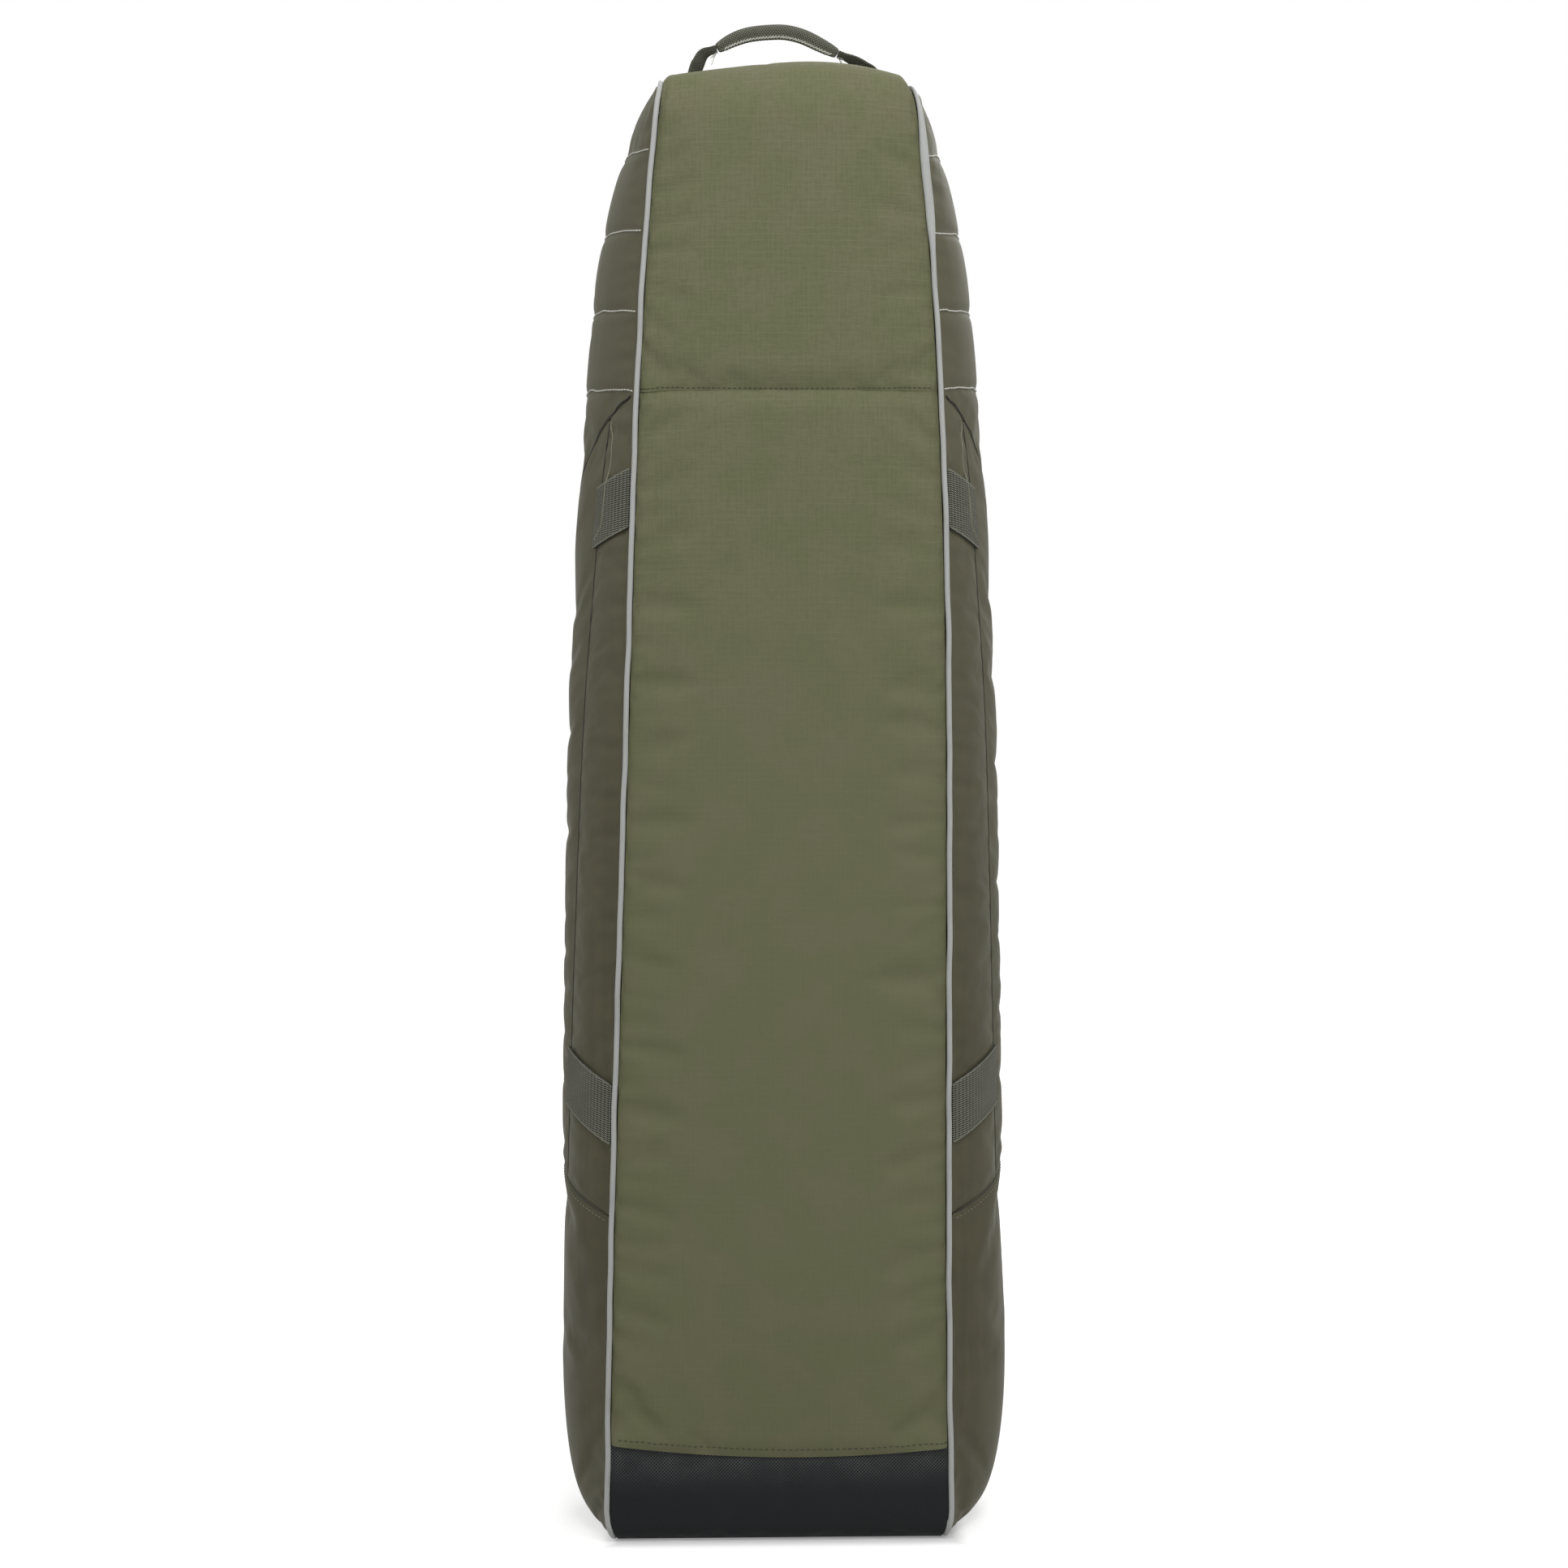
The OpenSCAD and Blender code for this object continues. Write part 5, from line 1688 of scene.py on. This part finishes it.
def sewSquare(name, pad, centre, along, across):  # box and cross of stitches on a pad
    box = np.array([(-1, -1), (1, -1), (1, 1), (-1, 1), (-1, -1), (1, 1), (1, -1), (-1, 1)])
    long, deep = foot["sewLong"], foot["sewDeep"]
    corners = [centre + along * a * long / 2 + across * b * deep / 2 for a, b in box]
    row = addStitches(name, [pad], np.array(corners), stitches["tail"])
    dress(row, oliveThread, "bag")


def makeHandles():
    topSpan = foot["at"]
    grabAt = Vector((0, 0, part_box("grab_handle_webbing")[0].z + foot["thick"] / 2))
    makeHandle("grab_handle", "grab_handle", grabShape, Matrix.Translation(grabAt))

    def onTop(end, a, b):
        x = end * topSpan + a
        k = x / (halfWidth(bag["high"]) - bag["seamIn"])
        z = bag["high"] + bag["topCrown"] * (1 - k * k) + nosePanel["lean"] * np.sin(math.pi * k)
        return columns(x, b, z), columns(a, b)

    pads = makeFeet("grab_handle_feet", onTop)
    padTop = np.array([0, 0, foot["lift"] + foot["thick"] + root["radius"] / 2])
    for end, key, legs in ((-1, "left", grabShape["legs"][0]), (1, "right", grabShape["legs"][1])):
        makeRoot(f"grabRoot_{key}", onTop(0, np.array([legs[-1][0]]), np.zeros(1))[0] + padTop)
        centre = np.array([end * topSpan, 0, bag["high"] + foot["clearTop"]])
        sewSquare(f"grabFootStitches_{key}", pads, centre, np.array([1, 0, 0]), np.array([0, 1, 0]))

    low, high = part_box("carry_handle_feet")
    carryAt = Vector(((low.x + high.x) / 2, high.y + foot["pivotLift"], (low.z + high.z) / 2))
    lying = Matrix.Rotation(math.radians(carryLie), 4, "Z") @ Matrix.Rotation(math.pi / 2, 4, "Y")
    makeHandle("carry_handle", "carry_handle", carryShape, Matrix.Translation(carryAt) @ lying)

    def onFront(end, a, b):
        points = columns(carryAt.x + b, 0 * a + bag["halfDeep"], carryAt.z + end * topSpan + a)
        return points, columns(a, b)

    pads = makeFeet("carry_handle_feet", onFront)
    for end, key in ((-1, "lower"), (1, "upper")):
        centre = np.array([carryAt.x, bag["halfDeep"] + foot["clearFront"], carryAt.z + end * topSpan])
        sewSquare(f"carryFootStitches_{key}", pads, centre, np.array([0, 0, 1]), np.array([1, 0, 0]))


# Front, lid and zip

lid = {
    "fold": -0.132,
    "edge": 0.132,
    "low": bag["bootHigh"] + 0.055,
    "high": bag["high"] - 0.160,
    "round": 0.060,
    "tape": 0.012,
    "lap": 0.0010,
    "zipStart": -0.104,
    "foldGap": 0.0003,
    "puff": 0.003,
    "puffReach": 0.035,
    "cornerShare": 0.25,
    "cornerCount": 9,
    "flat": 0.055,  # room beside the fold for the lid to turn back
    "foldRise": 0.110,
    "thick": 0.0030,
    "cols": 34,
    "rows": 150,
}
border = {
    "bottom": 40,
    "side": 170,
    "rows": 8,
    "puff": 0.0016,
    "thick": 0.0030,
    "gap": 0.0005,
    "edgeCount": 60,
    "besideFeet": 0.004,
    "pastFeet": 0.01,
}
zipStitch = {
    "pitch": 0.0066,
    "long": 0.0044,
    "thick": 0.0011,
    "lift": 0.0002,
    "edge": 0.004,
    "clear": 0.004,
}


def resample(points, count):
    points = np.array(points)
    return atRuns(points, np.linspace(0, runAlong(points)[-1], count + 1)[:-1])


def zipCorner(grow, low, start, end):  # part of a rounded corner of the zip's line
    r = lid["round"] + grow
    x = lid["edge"] - lid["round"]
    z = lid["low"] + lid["round"] if low else lid["high"] - lid["round"]
    turn = np.radians(np.linspace(start, end, lid["cornerCount"]))
    return [(x + r * math.cos(a), z + r * math.sin(a)) for a in turn]


def makeBorder():
    g, t = lid["foldGap"], lid["tape"]
    fold = lid["fold"] - g
    start, low, high = lid["zipStart"], lid["low"], lid["high"]
    lowEdge = [(fold, low - g), (start, low - g), (start, low - t)]
    highEdge = [(start, high + t), (start, high + g), (fold, high + g)]
    inner = np.concatenate([
        resample(lowEdge + zipCorner(t, True, -90, -45), border["bottom"]),
        resample(zipCorner(t, True, -45, 0) + zipCorner(t, False, 0, 45), border["side"]),
        resample(zipCorner(t, False, 45, 90) + highEdge, border["bottom"]),
        resample([(fold, high + g), (fold, low - g)], border["side"]),
    ])
    bottom, top = bag["bootHigh"] + border["gap"], bag["cornerZ"] - border["gap"]
    climb = np.linspace(bottom, top, border["edgeCount"])
    rightEdge = columns(halfWidth(climb) - bag["seamIn"], climb)
    leftEdge = rightEdge[::-1] * np.array([-1, 1])
    outer = np.concatenate([
        resample([leftEdge[-1], rightEdge[0]], border["bottom"]),
        resample(rightEdge, border["side"]),
        resample([rightEdge[-1], leftEdge[0]], border["bottom"]),
        resample(leftEdge, border["side"]),
    ])
    count = len(inner)
    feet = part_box("carry_handle_feet")

    def place(u, v):
        spot = np.rint(u * count).astype(int) % count
        flat = mix(inner[spot], outer[spot], v[:, None])
        x, z = flat[:, 0], flat[:, 1]
        past = border["pastFeet"]
        under = (x > feet[0].x - border["besideFeet"]) & (z > feet[0].z - past) & (z < feet[1].z + past)
        y = bag["halfDeep"] + np.where(under, 0, border["puff"] * np.sin(math.pi * v))
        return columns(x, y, z), flat

    piece = addSheet("frontBorder", count, border["rows"], place)
    weld(piece, fill=False)
    subdivide(piece)
    thicken(piece, border["thick"])
    shadeSmooth(piece)
    dress(piece, ripstop, "bag", ["front_border"])
    return piece


def lidColumn(x, inset):  # lowest and highest place of the lid at x
    r = lid["round"] - inset
    over = np.clip(x - (lid["edge"] - lid["round"]), 0, r)
    rise = r - np.sqrt(np.maximum(r * r - over * over, 0))
    tab = x < lid["zipStart"]
    low = lid["low"] + np.where(tab, lid["foldGap"], inset + rise)
    high = lid["high"] - np.where(tab, lid["foldGap"], inset + rise)
    return low, high


def lidX(u, inset, foldInset):  # columns from the zip's edge to the fold, closer in the round corner
    r, share = lid["round"] - inset, lid["cornerShare"]
    straight = lid["edge"] - lid["round"]
    corner = straight + r * np.cos(np.clip(u / share, 0, 1) * math.pi / 2)
    rest = mix(straight, lid["fold"] + foldInset, np.clip((u - share) / (1 - share), 0, 1))
    return np.where(u < share, corner, rest)


def makeLid():
    cloth = {"stiff": 14, "bend": 0.8, "grow": 0.008, "pressure": 1.2, "cap": 0.005}
    store = {}

    def place(u, v):
        inset = lid["tape"] - lid["lap"]
        x = lidX(u, inset, lid["foldGap"])
        low, high = lidColumn(x, inset)
        z = mix(low, high, v)
        edge = np.minimum(np.minimum(z - low, high - z), lid["edge"] - inset - x)
        fromFold = x - lid["fold"]
        store["held"] = onEdge(u, v) | (fromFold < lid["flat"])
        puff = np.minimum(smooth(edge, 0, lid["puffReach"]), smooth(fromFold, 0, lid["foldRise"]))
        y = bag["halfDeep"] + lid["puff"] * puff
        return columns(x, y, z), columns(x, z)

    piece = addSheet("lidPanel", lid["cols"], lid["rows"], place)
    settle(piece, store["held"], cloth)
    subdivide(piece)
    thicken(piece, lid["thick"])
    shadeSmooth(piece)
    dress(piece, ripstop, "lid", ["lid_panel"])
    return piece


def zipLine(grow, start):  # the zip's line on the front, moved outwards by grow
    corners = zipCorner(grow, False, 90, 0) + zipCorner(grow, True, 0, -90)
    path = np.array([(start, lid["high"] + grow)] + corners + [(start, lid["low"] - grow)])
    return columns(path[:, 0], bag["halfDeep"], path[:, 1])


def makeZipStitches(frontPiece, lidPiece):
    off = lid["tape"] + zipStitch["edge"]
    for name, onto, body, grow in (("border", frontPiece, "bag", off), ("lid", lidPiece, "lid", -off)):
        path = zipLine(grow, lid["zipStart"]) + np.array([0, zipStitch["clear"], 0])
        row = addStitches(f"{name}ZipStitches", [onto], path, zipStitch)
        dress(row, darkThread, body)


def makeLidFold():  # a flat strip of cloth that is the lid's hinge
    strip = {"wide": 0.016, "thick": 0.0012, "cols": 12, "rows": 80, "out": 0.0006, "end": 0.001}

    def place(u, v):
        x = lid["fold"] + (0.5 - u) * strip["wide"]
        z = mix(lid["low"] + strip["end"], lid["high"] - strip["end"], v)
        y = bag["halfDeep"] + strip["out"] + strip["thick"] + 0 * x
        return columns(x, y, z), columns(x, z)

    piece = addSheet("lidFold", strip["cols"], strip["rows"], place)
    thicken(piece, strip["thick"])
    shadeSmooth(piece, 40)
    half = strip["wide"] / 2
    y, z = bag["halfDeep"], (lid["low"] + lid["high"]) / 2
    ends = [(lid["fold"] + way * half, y, z) for way in (-1, 1)]
    dress(piece, ripstop, "lid", bends=ends)


tooth = {
    "pitch": 0.0050,
    "root": 0.0042,
    "mesh": 0.0008,
    "wide": 0.0024,
    "tall": 0.0036,
    "bevel": 0.0007,
    "start": 0.0084,
    "y": bag["halfDeep"] - 0.003,
}


def modelTooth():  # one moulded tooth: a block with rounded edges, long along Z
    clearSelection()
    bpy.ops.mesh.primitive_cube_add(size=1)
    block = bpy.context.object
    bpy.ops.object.mode_set(mode="EDIT")
    bpy.ops.mesh.select_all(action="SELECT")
    size = (tooth["wide"], tooth["tall"], tooth["root"] + tooth["mesh"])
    bpy.ops.transform.resize(value=size, center_override=(0, 0, 0))
    bpy.ops.mesh.bevel(offset=tooth["bevel"], segments=1, affect="EDGES")
    bpy.ops.object.mode_set(mode="OBJECT")
    return takeModel(block)


def makeTeeth(name, body, away, node):
    model = modelTooth()
    path = zipLine(0, lid["zipStart"] + tooth["start"])
    first = 0 if away > 0 else tooth["pitch"] / 2
    spots = atRuns(path, np.arange(first, runAlong(path)[-1], tooth["pitch"]))
    tangents = alongPath(spots)
    up = np.tile(np.array([0.0, 1.0, 0.0]), (len(spots), 1))
    out = np.cross(tangents, up)
    shift = (tooth["root"] - tooth["mesh"]) / 2 * away
    spots[:, 1] = tooth["y"]
    piece = addCopies(name, model, np.stack([tangents, up, out], axis=1), spots + out * shift, 50)
    dress(piece, teethPlastic, body, [node])


def keepNode(name, finish):
    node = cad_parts[name]
    node.data.materials.clear()
    node.data.materials.append(finish)


def makeZip():
    makeTeeth("zipTeethBorder", "bag", 1, "zip_teeth_border")
    makeTeeth("zipTeethLid", "lid", -1, "zip_teeth_lid")
    kept = {
        zipTapeCloth: ("zip_tape_border", "zip_tape_lid"),
        zipMetal: ("zip_slider_upper", "zip_slider_lower", "zip_stops"),
        pullPlastic: ("zip_pull_upper", "zip_pull_lower"),
    }
    for finish, names in kept.items():
        for name in names:
            keepNode(name, finish)


# Inside

pad = {"bevel": 0.0030, "segments": 3, "inset": 0.008, "lidMargin": 0.024}


def finishPad(piece, thick, node, body):
    thicken(piece, thick)
    bevel(piece, pad["bevel"], pad["segments"])
    shadeSmooth(piece, 40)
    dress(piece, liningCloth, body, [node])


def makePads():
    low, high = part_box("back_pad")
    inset = pad["inset"] - bag["seamIn"]

    def onBack(u, v):
        z = mix(low.z, high.z, v)
        x = (1 - 2 * u) * (halfWidth(z) - bag["seamIn"] - inset)
        return columns(x, 0 * x + high.y, z), columns(x, z)

    finishPad(addSheet("backPad", 20, 80, onBack), high.y - low.y, "back_pad", "bag")
    lidLow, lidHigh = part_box("lid_pad")
    margin = pad["lidMargin"]

    def onLid(u, v):
        x = lidX(1 - u, margin, margin)
        low, high = lidColumn(x, margin)
        z = mix(low, high, v)
        return columns(x, 0 * x + lidLow.y, z), columns(x, z)

    finishPad(addSheet("lidPad", 24, 80, onLid), lidHigh.y - lidLow.y, "lid_pad", "lid")


def makeLining(which, label):
    lining = {"reach": 0.88, "inset": 0.0069, "thick": 0.0012, "cols": 24, "rows": 90}
    low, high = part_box(f"side_lining_{label}")

    def place(u, v):
        s = lining["reach"] * (2 * acrossSide(which, 1 - u) - 1)
        z = mix(low.z, high.z, v)
        points, flat = onSide(which, s, z)
        points[:, 0] -= which * lining["inset"]
        return points, flat

    piece = addSheet(f"sideLining_{label}", lining["cols"], lining["rows"], place)
    area = sum(polygon.area for polygon in piece.data.polygons)
    thicken(piece, lining["thick"])
    shadeSmooth(piece)
    dress(piece, liningCloth, "bag", [f"side_lining_{label}"])
    length = high.z - low.z
    area / length


def makeTies():
    tie = {"sag": 0.0006, "wave": 0.08, "bevel": 0.0007, "cols": 40, "rows": 8}
    for name in ("upper", "lower"):
        for half, body in (("fixed", "bag"), ("loose", f"tie_{name}")):
            node = f"tie_strap_{name}_{half}"
            low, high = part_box(node)
            thick = high.y - low.y

            def place(u, v):
                x = mix(high.x, low.x, u)
                z = mix(low.z, high.z, v)
                wave = tie["sag"] * np.sin(math.pi * u) * ripple(x, tie["wave"], 3)
                return columns(x, high.y + wave * (half == "loose"), z), columns(z, x)

            piece = addSheet(f"tie_{name}_{half}", tie["cols"], tie["rows"], place)
            thicken(piece, thick)
            bevel(piece, tie["bevel"])
            shadeSmooth(piece, 40)
            dress(piece, tieWeb, body, [node])


makeSides()
makeBackPanel()
makeNosePanel()
makeBoot()
for which, label in bothSides:
    makePiping(which, label)
    makeSeamBinding(which, label)
print("body")
makeHandles()
print("handles")
makeZipStitches(makeBorder(), makeLid())
makeLidFold()
makeZip()
print("front")
makePads()
for which, label in bothSides:
    makeLining(which, label)
makeTies()
keepNode("base_board", boardPlastic)
print("inside")
